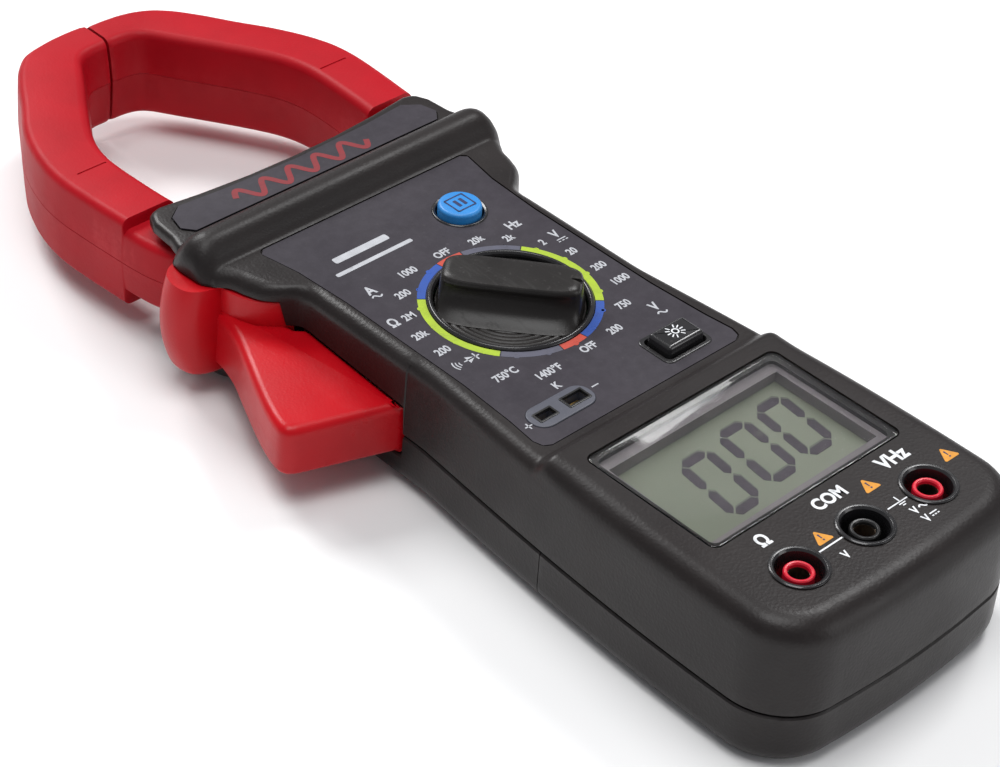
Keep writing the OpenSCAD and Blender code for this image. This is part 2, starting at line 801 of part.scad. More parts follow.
module coil() {
    difference() {
        box(coil_low, coil_high);
        slab(core_z0 - 0.02, core_z1 + 0.02, concat(
            shifted(jaw_outer, core_inset - 0.02), reversed(shifted(jaw_outer, core_inset + core_w + 0.02))
        ));
    }
}

module fixed_core() { color("dimgray") core(); }
module moving_core() { color("dimgray") mirror([1, 0, 0]) core(); }
module fixed_coil() { color("peru") coil(); }
module moving_coil() { color("peru") mirror([1, 0, 0]) coil(); }

// Trigger with its hand guard, fastened to the moving jaw

// Curved wall around the pivot that keeps the opening behind the trigger filled as the jaw swings
module trigger_neck(z0, z1) {
    intersection() {
        difference() {
            post(pivot_at, neck_r, z0, z1);
            post(pivot_at, neck_r - 3.4, z0 - 1, z1 + 1);
        }
        slab(z0, z1, [pivot_at, pivot_at + [-11, -20], pivot_at + [-20, -20], pivot_at + [-20, 0]]);
    }
}

module trigger() {
    color([0.8, 0.06, 0.12]) difference() {
        union() {
            slab(trigger_z0, trigger_z1, trigger_area);
            slab(trigger_z0, 27.2, [[-33, 37], [-41.9, 37], [-41, 41], [-41, 57], [-33, 57]]);
            slab(5.1, 27.2, guard_area);
            trigger_neck(trigger_z1 - 2, 27.2);
        }
        mirror([1, 0, 0]) slab(0, 50, shifted(jaw_outer, -0.06));
        post(pivot_at, 6.5, 0, 50);
        box([-30.5, 43.9, 0], [-10, 60, 50]);
        slab(trigger_z0 + 2, trigger_z1 - 2, [
            [-28, 3.2], [-33.5, 3.2], [-50, 9.2], [-46.5, 21], [-40, 34.5], [-28, 34.5]
        ]);
        trigger_screw_holes();
    }
}

trigger_screw_x = -34;
trigger_screw_y = 49;
trigger_screw_z = [13.5, 20.5];

// Counterbored holes along the length, through the trigger's root into the jaw shells
module trigger_screw_holes() {
    for (z = trigger_screw_z) translate([trigger_screw_x, 0, z]) rotate([-90, 0, 0]) {
        translate([0, 0, 34]) cylinder(r = 2.4, h = trigger_screw_y - 34);
        cylinder(r = 1.3, h = trigger_screw_y + 9.8);
    }
}

module trigger_screws() {
    color("silver") for (z = trigger_screw_z)
        translate([trigger_screw_x, trigger_screw_y - 1.6, z]) rotate([-90, 0, 0])
            screw([0, 0], 0, 11.1, 1.25, 2.2, 1.58);
}

module pivot_pin() {
    color("silver") post(pivot_at, pin_r, spring_z0 - 0.98, head_roof - 0.82);
}

// Ring of points around a helix, for the torsion spring
spring_r = 3.6;
spring_wire_r = 0.36;
spring_turns = 4;
spring_rise = 3;
function spring_ring(a) = [for (b = [0 : 45 : 315])
    let (r = spring_r + spring_wire_r * cos(b),
         z = spring_z0 + spring_wire_r + 0.1 + spring_rise * a / (360 * spring_turns))
    [r * cos(a), r * sin(a), z + spring_wire_r * sin(b)]];

module jaw_spring() {
    sweep = [for (a = [0 : 15 : 360 * spring_turns]) spring_ring(a)];
    points = [for (ring = sweep) for (p = ring) p];
    last = len(sweep) - 1;
    faces = concat(
        [[for (j = [0 : 7]) j]],
        [[for (j = [7 : -1 : 0]) last * 8 + j]],
        [for (i = [0 : last - 1], j = [0 : 7])
            [i * 8 + j, (i + 1) * 8 + j, (i + 1) * 8 + (j + 1) % 8, i * 8 + (j + 1) % 8]]
    );
    color("silver") translate([pivot_x, pivot_y, 0]) polyhedron(points, faces, convexity = 8);
}

// Fasteners

module case_screws() {
    color("silver") for (p = case_screw_at)
        screw(p, 4.4, 14, 1.35);
}

module cover_screws() {
    color("silver") for (p = cover_screw_at)
        screw(p, 4.4, 14, 1.35);
}

module jaw_screws() {
    color("silver") for (p = jaw_screw_at)
        screw(p, 4.4, 21, 1.35);
}

module board_screws() {
    color("silver") for (p = board_screw_at)
        screw(p, board_z0 - 1.31, 5.2, 1.15, 2.4, 1.3);
}

front_case();
back_case();
battery_cover();
face_label();
head_label();
lens_window();
lcd_panel();
lcd_frame();
backlight();
zebra_strips();
main_pcb();
measuring_ic();
small_parts();
electrolytic_caps();
buzzer();
battery();
battery_snap();
battery_tray();
ohm_socket();
com_socket();
volt_socket();
socket_rings();
socket_tubes();
thermocouple_socket();
thermocouple_contacts();
hold_switch();
light_switch();
dial_bezel();
switch_rotor();
wiper_contacts();
detent_balls();
knob();
hold_button();
light_button();
fixed_jaw_upper();
fixed_jaw_lower();
fixed_core();
fixed_coil();
moving_jaw_upper();
moving_jaw_lower();
moving_core();
moving_coil();
trigger();
trigger_screws();
pivot_pin();
jaw_spring();
case_screws();
cover_screws();
jaw_screws();
board_screws();
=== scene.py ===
"""A hand-held clamp meter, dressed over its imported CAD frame.

Sizes in the classes are millimetres in the frame of the part: +Y runs to the tip of the jaws,
+X to the right of the face and +Z out of the face. Every mesh is written in metres.
"""

import json
import logging
import math
from dataclasses import dataclass, field
from enum import Enum
from typing import Any, Sequence

import bmesh
import bpy
import numpy as np
from mathutils import Matrix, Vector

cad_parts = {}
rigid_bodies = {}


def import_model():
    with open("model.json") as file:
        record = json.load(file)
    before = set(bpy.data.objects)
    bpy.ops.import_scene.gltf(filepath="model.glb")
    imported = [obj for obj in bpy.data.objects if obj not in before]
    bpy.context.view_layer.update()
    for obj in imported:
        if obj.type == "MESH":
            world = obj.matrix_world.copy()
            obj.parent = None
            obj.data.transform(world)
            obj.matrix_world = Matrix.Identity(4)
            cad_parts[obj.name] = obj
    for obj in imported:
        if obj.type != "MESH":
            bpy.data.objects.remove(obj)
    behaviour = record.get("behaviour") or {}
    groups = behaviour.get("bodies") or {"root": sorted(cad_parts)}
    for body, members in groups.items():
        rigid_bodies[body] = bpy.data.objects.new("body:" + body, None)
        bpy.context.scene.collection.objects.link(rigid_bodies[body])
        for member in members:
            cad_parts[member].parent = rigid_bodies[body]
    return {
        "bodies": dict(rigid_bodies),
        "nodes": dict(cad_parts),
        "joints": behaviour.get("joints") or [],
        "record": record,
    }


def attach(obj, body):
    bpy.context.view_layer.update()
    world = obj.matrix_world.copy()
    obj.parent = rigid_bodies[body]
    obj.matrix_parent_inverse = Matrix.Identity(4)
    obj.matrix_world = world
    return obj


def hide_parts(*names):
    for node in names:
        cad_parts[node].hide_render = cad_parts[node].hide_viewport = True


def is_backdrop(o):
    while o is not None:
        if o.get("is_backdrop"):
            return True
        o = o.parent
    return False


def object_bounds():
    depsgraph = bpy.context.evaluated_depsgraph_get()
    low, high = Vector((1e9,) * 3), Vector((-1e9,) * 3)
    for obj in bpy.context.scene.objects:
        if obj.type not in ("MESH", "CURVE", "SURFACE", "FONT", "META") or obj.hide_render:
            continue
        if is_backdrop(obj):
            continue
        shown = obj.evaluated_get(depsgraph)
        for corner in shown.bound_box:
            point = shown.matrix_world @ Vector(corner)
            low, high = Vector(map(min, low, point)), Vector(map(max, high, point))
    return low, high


Array = np.ndarray
Colour = tuple[float, float, float]
MM = 0.001
PIVOT = (-24.0, 44.0)
HOLD_AT = (13.3, 29.5)
LAMP_AT = (15.8, -30.7)
SOCKET_PITCH = 18.0
SOCKET_Y = -93.5
WALL = 2.2
HALF_JOINT = 0.22
LOG = logging.getLogger("clamp_meter")


class Body(Enum):
    """Bodies of the frame that a piece can ride on."""

    METER = "meter"
    JAW = "moving_jaw"
    KNOB = "range_knob"
    HOLD = "hold_key"
    LAMP = "light_key"


class Ink(Enum):
    """Printing inks of the face, with their linear colours."""

    LIGHT = (0.46, 0.47, 0.50)
    LIME = (0.36, 0.50, 0.02)
    BLUE = (0.012, 0.07, 0.36)
    RED = (0.50, 0.055, 0.03)
    SLATE = (0.085, 0.085, 0.12)
    AMBER = (0.72, 0.30, 0.02)
    CRIMSON = (0.22, 0.012, 0.018)
    DARK = (0.012, 0.02, 0.09)
    WHITE = (0.80, 0.82, 0.84)


# ---------------------------------------------------------------- curves and outlines


def soft_curve(x: Array, knots: Sequence[float], values: Any) -> Array:
    """Smooth curve through knots.

    Each span is a cubic whose end slopes are the central differences of the knots.

    Args:
        x: Places along the knots.
        knots: Rising places of the knots.
        values: Value, or row of values, at each knot.

    Returns:
        The value at each place.
    """
    kx = np.asarray(knots, float)
    ky = np.asarray(values, float)
    slope = np.gradient(ky, kx, axis=0)
    i = np.clip(np.searchsorted(kx, x) - 1, 0, len(kx) - 2)
    h = kx[i + 1] - kx[i]
    t = np.clip((x - kx[i]) / h, 0.0, 1.0)
    if ky.ndim == 2:
        h, t = h[:, None], t[:, None]
    t2, t3 = t * t, t * t * t
    return (
        (2 * t3 - 3 * t2 + 1) * ky[i]
        + (t3 - 2 * t2 + t) * h * slope[i]
        + (3 * t2 - 2 * t3) * ky[i + 1]
        + (t3 - t2) * h * slope[i + 1]
    )


def smooth_step(x: Array, low: float, high: float) -> Array:
    """Value that rises from 0 at low to 1 at high as 3t^2 - 2t^3."""
    t = np.clip((x - low) / (high - low), 0.0, 1.0)
    return t * t * (3 - 2 * t)


def spline_path(points: Sequence[Sequence[float]], count: int) -> Array:
    """Smooth open path of count points through the given points, spaced by chord length."""
    p = np.asarray(points, float)
    s = np.concatenate([[0.0], np.cumsum(np.linalg.norm(np.diff(p, axis=0), axis=1))])
    return soft_curve(np.linspace(0, s[-1], count), s, p)


def round_corners(points: Sequence[Sequence[float]], radius: float, steps: int = 7) -> Array:
    """Closed outline whose corners are arcs.

    At a corner the arc touches both sides at r / tan(half the angle), and its points are the
    spherical blend of the two spokes from the arc's centre. The radius shrinks on short sides.

    Args:
        points: Corners in order.
        radius: Radius that every corner aims for.
        steps: Points on each arc.

    Returns:
        The outline's points, one row each.
    """
    p = np.asarray(points, float)
    to_prev = np.roll(p, 1, axis=0) - p
    to_next = np.roll(p, -1, axis=0) - p
    len_prev = np.linalg.norm(to_prev, axis=1)
    len_next = np.linalg.norm(to_next, axis=1)
    a = to_prev / len_prev[:, None]
    b = to_next / len_next[:, None]
    half = 0.5 * np.arccos(np.clip((a * b).sum(1), -0.99999, 0.99999))
    reach = np.minimum(radius / np.tan(half), 0.48 * np.minimum(len_prev, len_next))
    r = reach * np.tan(half)
    middle = (a + b) / np.maximum(np.linalg.norm(a + b, axis=1), 1e-9)[:, None]
    centre = p + middle * (r / np.sin(half))[:, None]
    v0 = p + a * reach[:, None] - centre
    v1 = p + b * reach[:, None] - centre
    sweep = np.maximum(math.pi - 2 * half, 1e-4)[:, None]
    t = np.linspace(0, 1, steps)[None, :]
    w0 = (np.sin((1 - t) * sweep) / np.sin(sweep))[..., None]
    w1 = (np.sin(t * sweep) / np.sin(sweep))[..., None]
    return (centre[:, None] + w0 * v0[:, None] + w1 * v1[:, None]).reshape(-1, 2)


def inset(loop: Array, d: float) -> Array:
    """Closed outline moved d inwards along its normals, which are its turned central differences."""
    t = np.roll(loop, -1, axis=0) - np.roll(loop, 1, axis=0)
    n = np.stack([t[:, 1], -t[:, 0]], axis=1)
    n /= np.maximum(np.linalg.norm(n, axis=1), 1e-9)[:, None]
    area = 0.5 * np.sum(loop[:, 0] * np.roll(loop[:, 1], -1) - np.roll(loop[:, 0], -1) * loop[:, 1])
    return loop - n * d * (1 if area > 0 else -1)


def both_sides(half: Sequence[Sequence[float]]) -> list[tuple[float, float]]:
    """Closed outline from its right half, whose first and last points lie on the middle line."""
    right = [(float(x), float(y)) for x, y in half]
    return right + [(-x, y) for x, y in reversed(right) if x > 1e-9]


def box_loop(x0: float, y0: float, x1: float, y1: float, radius: float) -> Array:
    """Outline of a rounded rectangle between two corners."""
    return round_corners([(x0, y0), (x1, y0), (x1, y1), (x0, y1)], radius, 9)


def oval(a: float, b: float, power: float, count: int = 96) -> Array:
    """Superellipse |x/a|^p + |y/b|^p = 1, as points by angle."""
    t = np.linspace(0, 2 * math.pi, count, endpoint=False)
    c, s = np.cos(t), np.sin(t)
    return np.stack([
        a * np.sign(c) * np.abs(c) ** (2 / power), b * np.sign(s) * np.abs(s) ** (2 / power)
    ], axis=1)


def turned(points: Array, degrees: float, centre: Sequence[float] = (0.0, 0.0)) -> Array:
    """Points with their x and y turned about a centre, anticlockwise seen from above."""
    c, s = math.cos(math.radians(degrees)), math.sin(math.radians(degrees))
    out = np.array(points, float)
    x, y = out[..., 0] - centre[0], out[..., 1] - centre[1]
    out[..., 0] = centre[0] + c * x - s * y
    out[..., 1] = centre[1] + s * x + c * y
    return out


# ---------------------------------------------------------------- meshes


@dataclass
class Surface:
    """Patches of one piece in millimetres, gathered before they are welded."""

    points: list[Array] = field(default_factory=list)
    faces: list[list[int]] = field(default_factory=list)
    count: int = 0

    def grid(self, p: Array, wrap: bool = False) -> "Surface":
        """Adds a grid of points, rows by columns by 3, closing the columns where wrap is set."""
        rows, cols = p.shape[:2]
        index = self.count + np.arange(rows * cols).reshape(rows, cols)
        if wrap:
            index = np.concatenate([index, index[:, :1]], axis=1)
        a, b, c, d = index[:-1, :-1], index[1:, :-1], index[1:, 1:], index[:-1, 1:]
        self.faces += np.stack([a, b, c, d], axis=-1).reshape(-1, 4).tolist()
        self._add(p.reshape(-1, 3))
        return self

    def cap(self, loop: Array) -> "Surface":
        """Adds one face over a closed loop of points."""
        self.faces.append(list(range(self.count, self.count + len(loop))))
        self._add(loop)
        return self

    def stack(self, loops: Array) -> "Surface":
        """Adds closed loops of equal length joined in order, with both ends capped."""
        return self.grid(loops, wrap=True).cap(loops[0]).cap(loops[-1])

    def _add(self, p: Array) -> None:
        """Keeps the points and counts them."""
        self.points.append(np.asarray(p, float))
        self.count += len(p)

    def build(self, name: str, crisp: float = 40.0) -> bpy.types.Object:
        """Welds the patches into one object with outward faces.

        Args:
            name: Name of the piece.
            crisp: Angle in degrees above which an edge is shaded sharp.

        Returns:
            The object, linked to the scene.
        """
        return mesh_object(name, np.concatenate(self.points), self.faces, crisp)


def new_object(name: str, data: Any) -> bpy.types.Object:
    """New object in the scene around a mesh, curve, light or camera."""
    obj = bpy.data.objects.new(name, data)
    bpy.context.scene.collection.objects.link(obj)
    return obj


def weld(mesh: bpy.types.Mesh, distance: float, slivers: bool = False) -> None:
    """Merges doubles, drops slivers where asked, and turns every face outward."""
    work = bmesh.new()
    work.from_mesh(mesh)
    bmesh.ops.remove_doubles(work, verts=work.verts, dist=distance)
    if slivers:
        bmesh.ops.dissolve_degenerate(work, edges=work.edges, dist=1e-7)
    bmesh.ops.recalc_face_normals(work, faces=work.faces)
    work.to_mesh(mesh)
    work.free()


def mesh_object(name: str, points: Array, faces: list[list[int]], crisp: float) -> bpy.types.Object:
    """Object from points in millimetres: doubles merged, faces outward, edges sharp above crisp."""
    mesh = bpy.data.meshes.new(name)
    mesh.from_pydata((points * MM).tolist(), [], faces)
    weld(mesh, 2e-6, slivers=True)
    obj = new_object(name, mesh)
    shade(obj, crisp)
    return obj


def shade(obj: bpy.types.Object, crisp: float) -> None:
    """Smooth shading that keeps edges above crisp degrees sharp."""
    obj.data.shade_smooth()
    obj.data.set_sharp_from_angle(angle=math.radians(crisp))


def at_height(loop: Array, z: Any) -> Array:
    """Flat outline lifted to a height, which may differ from point to point."""
    return np.concatenate(
        [loop, np.broadcast_to(np.asarray(z, float).reshape(-1, 1), (len(loop), 1))], axis=1
    )


def rounded_slab(
    loop: Array, z0: float, z1: float, top: float, bottom: float, steps: int = 6, draft: float = 0.0
) -> Array:
    """Loops of a slab whose upper and lower edges roll over.

    A quarter circle of radius r gives the inset r (1 - sin a) at the height r (1 - cos a) from
    the flat, and the wall leans in by draft towards the top.

    Args:
        loop: Outline of the slab.
        z0: Height of the underside.
        z1: Height of the top.
        top: Radius of the upper edge.
        bottom: Radius of the lower edge.
        steps: Points on each quarter circle.
        draft: Inset of the wall at the top.

    Returns:
        Loops from the underside to the top.
    """
    a = np.linspace(0, math.pi / 2, steps)
    low = np.stack([bottom * (1 - np.sin(a)), z0 + bottom * (1 - np.cos(a))], axis=1)
    high = np.stack([draft + top * (1 - np.sin(a)), z1 - top * (1 - np.cos(a))], axis=1)[::-1]
    return np.stack([at_height(inset(loop, d), z) for d, z in np.concatenate([low, high])])


def revolve(profile: Sequence[Sequence[float]], at: Sequence[float], sides: int = 72) -> Array:
    """Rings of a profile of radius and height turned about the Z axis at a place."""
    rz = np.asarray(profile, float)
    t = np.linspace(0, 2 * math.pi, sides, endpoint=False)
    r, z = rz[:, 0, None], rz[:, 1, None]
    return np.stack([at[0] + r * np.cos(t), at[1] + r * np.sin(t), z + 0 * t], axis=-1)


def turned_solid(
    surface: Surface, profile: Sequence[Sequence[float]], at: Sequence[float], closed: bool = False
) -> Surface:
    """Adds a turned solid: a ring when closed, otherwise one that is capped at both ends."""
    rings = revolve(profile, at)
    if closed:
        return surface.grid(np.concatenate([rings, rings[:1]]), wrap=True)
    return surface.stack(rings)


def soft_profile(points: Sequence[Sequence[float]], radius: float) -> Array:
    """Closed turning profile with rounded corners."""
    return round_corners(points, radius, 5)


def thicken(name: str, outer: Surface, inner: Surface, crisp: float) -> bpy.types.Object:
    """Closed wall between two open surfaces of the same layout.

    The points of the outer surface that coincide are merged, the inner ones follow the same
    merging, and every edge that only one face uses is bridged from outer to inner.

    Args:
        name: Name of the piece.
        outer: Visible surface.
        inner: Inside of the wall.
        crisp: Angle in degrees above which an edge is shaded sharp.

    Returns:
        The object.
    """
    out, inn = np.concatenate(outer.points), np.concatenate(inner.points)
    _, first, back = np.unique(np.round(out, 3), axis=0, return_index=True, return_inverse=True)
    back = back.reshape(-1)
    n = len(first)
    quads = back[np.asarray(outer.faces)]
    edges = np.stack([quads, np.roll(quads, -1, axis=1)], axis=-1).reshape(-1, 2)
    edges = edges[edges[:, 0] != edges[:, 1]]
    _, where, times = np.unique(np.sort(edges, axis=1), axis=0, return_index=True, return_counts=True)
    rim = edges[where[times == 1]]
    bridge = np.stack([rim[:, 1], rim[:, 0], rim[:, 0] + n, rim[:, 1] + n], axis=1)
    faces = quads.tolist() + (quads[:, ::-1] + n).tolist() + bridge.tolist()
    faces = [list(dict.fromkeys(f)) for f in faces]
    return mesh_object(
        name, np.concatenate([out[first], inn[first]]), [f for f in faces if len(f) > 2], crisp
    )


def carve(
    obj: bpy.types.Object, cutters: Sequence[bpy.types.Object], crisp: float = 35.0
) -> bpy.types.Object:
    """Takes the cutters away from obj, applies the result and removes them."""
    for i, cutter in enumerate(cutters):
        step = obj.modifiers.new(f"cut_{i}", "BOOLEAN")
        step.operation, step.solver, step.object = "DIFFERENCE", "EXACT", cutter
    graph = bpy.context.evaluated_depsgraph_get()
    mesh = bpy.data.meshes.new_from_object(obj.evaluated_get(graph), depsgraph=graph)
    obj.modifiers.clear()
    old, obj.data = obj.data, mesh
    bpy.data.meshes.remove(old)
    mesh.name = obj.name
    for cutter in cutters:
        used = cutter.data
        bpy.data.objects.remove(cutter)
        bpy.data.meshes.remove(used)
    shade(obj, crisp)
    return obj


def prism(loop: Array, z0: float, z1: float) -> Array:
    """Loops of a plain prism between two heights."""
    return np.stack([at_height(loop, z0), at_height(loop, z1)])


def block(name: str, loop: Array, z0: float, z1: float) -> bpy.types.Object:
    """Plain prism, used as a cutter."""
    return Surface().stack(prism(loop, z0, z1)).build(name)


def ring_loop(at: Sequence[float], radius: float, count: int = 64) -> Array:
    """Circle as an outline."""
    return oval(radius, radius, 2.0, count) + np.asarray(at, float)


# ---------------------------------------------------------------- node trees


class Tree:
    """Thin wrapper that adds and links the nodes of one node tree."""

    def __init__(self, tree: bpy.types.NodeTree) -> None:
        """Keeps the tree."""
        self.tree = tree

    def add(self, kind: str, inputs: dict[Any, Any] | None = None, **settings: Any) -> bpy.types.Node:
        """Adds a node.

        Args:
            kind: Node type without its ShaderNode prefix.
            inputs: Value or source socket for each input by name or number.
            **settings: Attributes of the node.

        Returns:
            The node.
        """
        node = self.tree.nodes.new("ShaderNode" + kind)
        for key, value in settings.items():
            setattr(node, key, value)
        self.fill(node, inputs or {})
        return node

    def fill(self, node: bpy.types.Node, inputs: dict[Any, Any]) -> None:
        """Links each input to its source socket, or sets it to its value."""
        for key, value in inputs.items():
            if isinstance(value, bpy.types.NodeSocket):
                self.tree.links.new(value, node.inputs[key])
            else:
                node.inputs[key].default_value = value

    def surface(self, shader: bpy.types.Node, colour: Any, rough: Any, bump: bpy.types.Node) -> None:
        """Links the colour, roughness and bump of a finish to its shader."""
        self.fill(shader, {"Base Color": colour, "Roughness": rough, "Normal": bump.outputs[0]})

    def group(self, tree: bpy.types.NodeTree, inputs: dict[str, Any]) -> bpy.types.Node:
        """Places a shared group with its own values."""
        node = self.tree.nodes.new("ShaderNodeGroup")
        node.node_tree = tree
        self.fill(node, inputs)
        return node

    def ramp(self, source: Any, low: float, high: float, to: tuple[float, float] = (0.0, 1.0)) -> Any:
        """Socket that maps source from low..high to the given range, clamped."""
        node = self.add(
            "MapRange", {"Value": source, "From Min": low, "From Max": high, "To Min": to[0], "To Max": to[1]}
        )
        return node.outputs["Result"]

    def maths(self, operation: str, a: Any, b: Any = 0.0) -> Any:
        """Socket with the result of a sum on two values."""
        return self.add("Math", {0: a, 1: b}, operation=operation).outputs[0]

    def mix(self, factor: Any, a: Any, b: Any) -> Any:
        """Socket with a colour between a and b."""
        node = self.add("Mix", {"Factor": factor}, data_type="RGBA")
        ends = {6: a, 7: b}
        self.fill(node, {k: v if isinstance(v, bpy.types.NodeSocket) else (*v, 1.0) for k, v in ends.items()})
        return node.outputs[2]


def new_group(name: str, inputs: dict[str, float], outputs: Sequence[str]) -> tuple[
    bpy.types.NodeTree, Tree, Any, Any
]:
    """Starts a shader group with float inputs and outputs.

    Args:
        name: Name of the group.
        inputs: Start value of each input.
        outputs: Names of the outputs.

    Returns:
        The group, its wrapper, its input node and its output node.
    """
    group = bpy.data.node_groups.new(name, "ShaderNodeTree")
    for key, value in inputs.items():
        socket = group.interface.new_socket(key, in_out="INPUT", socket_type="NodeSocketFloat")
        socket.default_value = value
    for key in outputs:
        group.interface.new_socket(key, in_out="OUTPUT", socket_type="NodeSocketFloat")
    return group, Tree(group), group.nodes.new("NodeGroupInput"), group.nodes.new("NodeGroupOutput")


class Effects:
    """Shared effects, each built once as a node group."""

    def __init__(self) -> None:
        """Builds the groups."""
        self.grain = self._grain()
        self.wear = self._wear()
        self.dust = self._dust()
        self.scuffs = self._scuffs()

    @staticmethod
    def _grain() -> bpy.types.NodeTree:
        """Spark-eroded texture: two noises and small cells for height, slow noise for tone and smudge."""
        group, t, entry, out = new_group(
            "moulded_grain", {"Scale": 2500.0, "Mottle": 60.0}, ["Height", "Tone", "Smudge"]
        )
        place = t.add("TexCoord").outputs["Object"]
        fine = t.add("TexNoise", {"Vector": place, "Scale": entry.outputs["Scale"], "Detail": 2.0})
        cells = t.add(
            "TexVoronoi", {"Vector": place, "Scale": t.maths("MULTIPLY", entry.outputs["Scale"], 0.8)}
        )
        slow = t.add("TexNoise", {"Vector": place, "Scale": entry.outputs["Mottle"], "Detail": 4.0})
        wide = t.add(
            "TexNoise",
            {
                "Vector": place, "Scale": t.maths("MULTIPLY", entry.outputs["Mottle"], 0.4), "Detail": 5.0,
                "Roughness": 0.6
            }
        )
        height = t.maths(
            "ADD", t.maths("MULTIPLY", fine.outputs["Fac"], 0.6),
            t.maths("MULTIPLY", cells.outputs["Distance"], 0.4)
        )
        t.tree.links.new(height, out.inputs["Height"])
        t.tree.links.new(t.ramp(slow.outputs["Fac"], 0.3, 0.7), out.inputs["Tone"])
        t.tree.links.new(t.ramp(wide.outputs["Fac"], 0.35, 0.68), out.inputs["Smudge"])
        return group

    @staticmethod
    def _wear() -> bpy.types.NodeTree:
        """Polished or rubbed edges: convex places by pointiness, broken up by noise."""
        group, t, entry, out = new_group("edge_wear", {"Amount": 0.5, "Scale": 300.0}, ["Mask"])
        bend = t.ramp(t.add("NewGeometry").outputs["Pointiness"], 0.51, 0.60)
        noise = t.add(
            "TexNoise",
            {
                "Vector": t.add("TexCoord").outputs["Object"], "Scale": entry.outputs["Scale"], "Detail": 6.0,
                "Roughness": 0.7
            }
        )
        patchy = t.maths("MULTIPLY", bend, t.ramp(noise.outputs["Fac"], 0.4, 0.62))
        t.tree.links.new(t.maths("MULTIPLY", patchy, entry.outputs["Amount"]), out.inputs["Mask"])
        return group

    @staticmethod
    def _dust() -> bpy.types.NodeTree:
        """Dust that settles on what faces up, as specks over a thin veil."""
        group, t, entry, out = new_group("settled_dust", {"Amount": 0.3, "Scale": 900.0}, ["Mask"])
        coord = t.add("TexCoord")
        up = t.ramp(t.add("SeparateXYZ", {0: coord.outputs["Normal"]}).outputs["Z"], 0.3, 1.0)
        specks = t.add(
            "TexNoise", {"Vector": coord.outputs["Object"], "Scale": entry.outputs["Scale"], "Detail": 3.0}
        )
        veil = t.add("TexNoise", {"Vector": coord.outputs["Object"], "Scale": 45.0, "Detail": 4.0})
        both = t.maths(
            "ADD", t.ramp(specks.outputs["Fac"], 0.63, 0.75),
            t.ramp(veil.outputs["Fac"], 0.4, 0.9, (0.0, 0.25))
        )
        t.tree.links.new(
            t.maths("MULTIPLY", t.maths("MULTIPLY", both, up), entry.outputs["Amount"]), out.inputs["Mask"]
        )
        return group

    @staticmethod
    def _scuffs() -> bpy.types.NodeTree:
        """Fine handling scratches: thin level lines of a stretched, warped noise."""
        group, t, entry, out = new_group("fine_scuffs", {"Amount": 0.3, "Scale": 90.0}, ["Mask"])
        place = t.add(
            "Mapping",
            {
                "Vector": t.add("TexCoord").outputs["Object"], "Rotation": (0.0, 0.3, 0.7),
                "Scale": (1.0, 0.12, 1.0)
            }
        )
        noise = t.add(
            "TexNoise",
            {"Vector": place.outputs[0], "Scale": entry.outputs["Scale"], "Detail": 5.0, "Roughness": 0.65}
        )
        off = t.maths("ABSOLUTE", t.maths("SUBTRACT", noise.outputs["Fac"], 0.5))
        t.tree.links.new(
            t.maths("MULTIPLY", t.ramp(off, 0.0, 0.012, (1.0, 0.0)), entry.outputs["Amount"]),
            out.inputs["Mask"]
        )
        return group


# ---------------------------------------------------------------- finishes


@dataclass(frozen=True)
class Finish:
    """Common form of a finish: a name, and a material made once."""

    name: str

    def start(self) -> tuple[bpy.types.Material, Tree, Any]:
        """New material with its wrapper and its shader node."""
        material = bpy.data.materials.new(self.name)
        material.use_nodes = True
        return material, Tree(material.node_tree), material.node_tree.nodes["Principled BSDF"]

    def material(self, effects: Effects) -> bpy.types.Material:
        """Makes the material."""
        raise NotImplementedError


@dataclass(frozen=True)
class Moulded(Finish):
    """Moulded plastic or rubber with a grain, slow colour changes, rubbed edges and dust."""

    colour: Colour
    shade: Colour
    rough: float = 0.45
    grain: float = 2600.0
    bump: float = 0.25
    depth: float = 0.00006
    wear: float = 0.35
    worn: Colour = (0.2, 0.2, 0.2)
    dust: float = 0.12
    coat: float = 0.0
    scuff: float = 0.15
    specular: float = 0.5

    def material(self, effects: Effects) -> bpy.types.Material:
        """Colour from tone, wear and dust; roughness from smudges; bump from the grain."""
        made, t, shader = self.start()
        grain = t.group(effects.grain, {"Scale": self.grain, "Mottle": 70.0})
        wear = t.group(effects.wear, {"Amount": self.wear, "Scale": 350.0}).outputs[0]
        dust = t.group(effects.dust, {"Amount": self.dust, "Scale": 1100.0}).outputs[0]
        scuff = t.group(effects.scuffs, {"Amount": self.scuff, "Scale": 80.0}).outputs[0]
        colour = t.mix(grain.outputs["Tone"], self.colour, self.shade)
        colour = t.mix(wear, colour, self.worn)
        colour = t.mix(dust, colour, (0.42, 0.40, 0.38))
        rough = t.ramp(grain.outputs["Smudge"], 0.0, 1.0, (self.rough - 0.07, self.rough + 0.08))
        rough = t.maths("SUBTRACT", rough, t.maths("MULTIPLY", wear, 0.25))
        rough = t.maths("ADD", rough, t.maths("MULTIPLY", t.maths("ADD", dust, scuff), 0.3))
        height = t.maths("SUBTRACT", grain.outputs["Height"], t.maths("MULTIPLY", scuff, 0.5))
        bump = t.add("Bump", {"Strength": self.bump, "Distance": self.depth, "Height": height})
        t.surface(shader, colour, rough, bump)
        shader.inputs["Coat Weight"].default_value = self.coat
        shader.inputs["Coat Roughness"].default_value = 0.12
        shader.inputs["Specular IOR Level"].default_value = self.specular
        return made


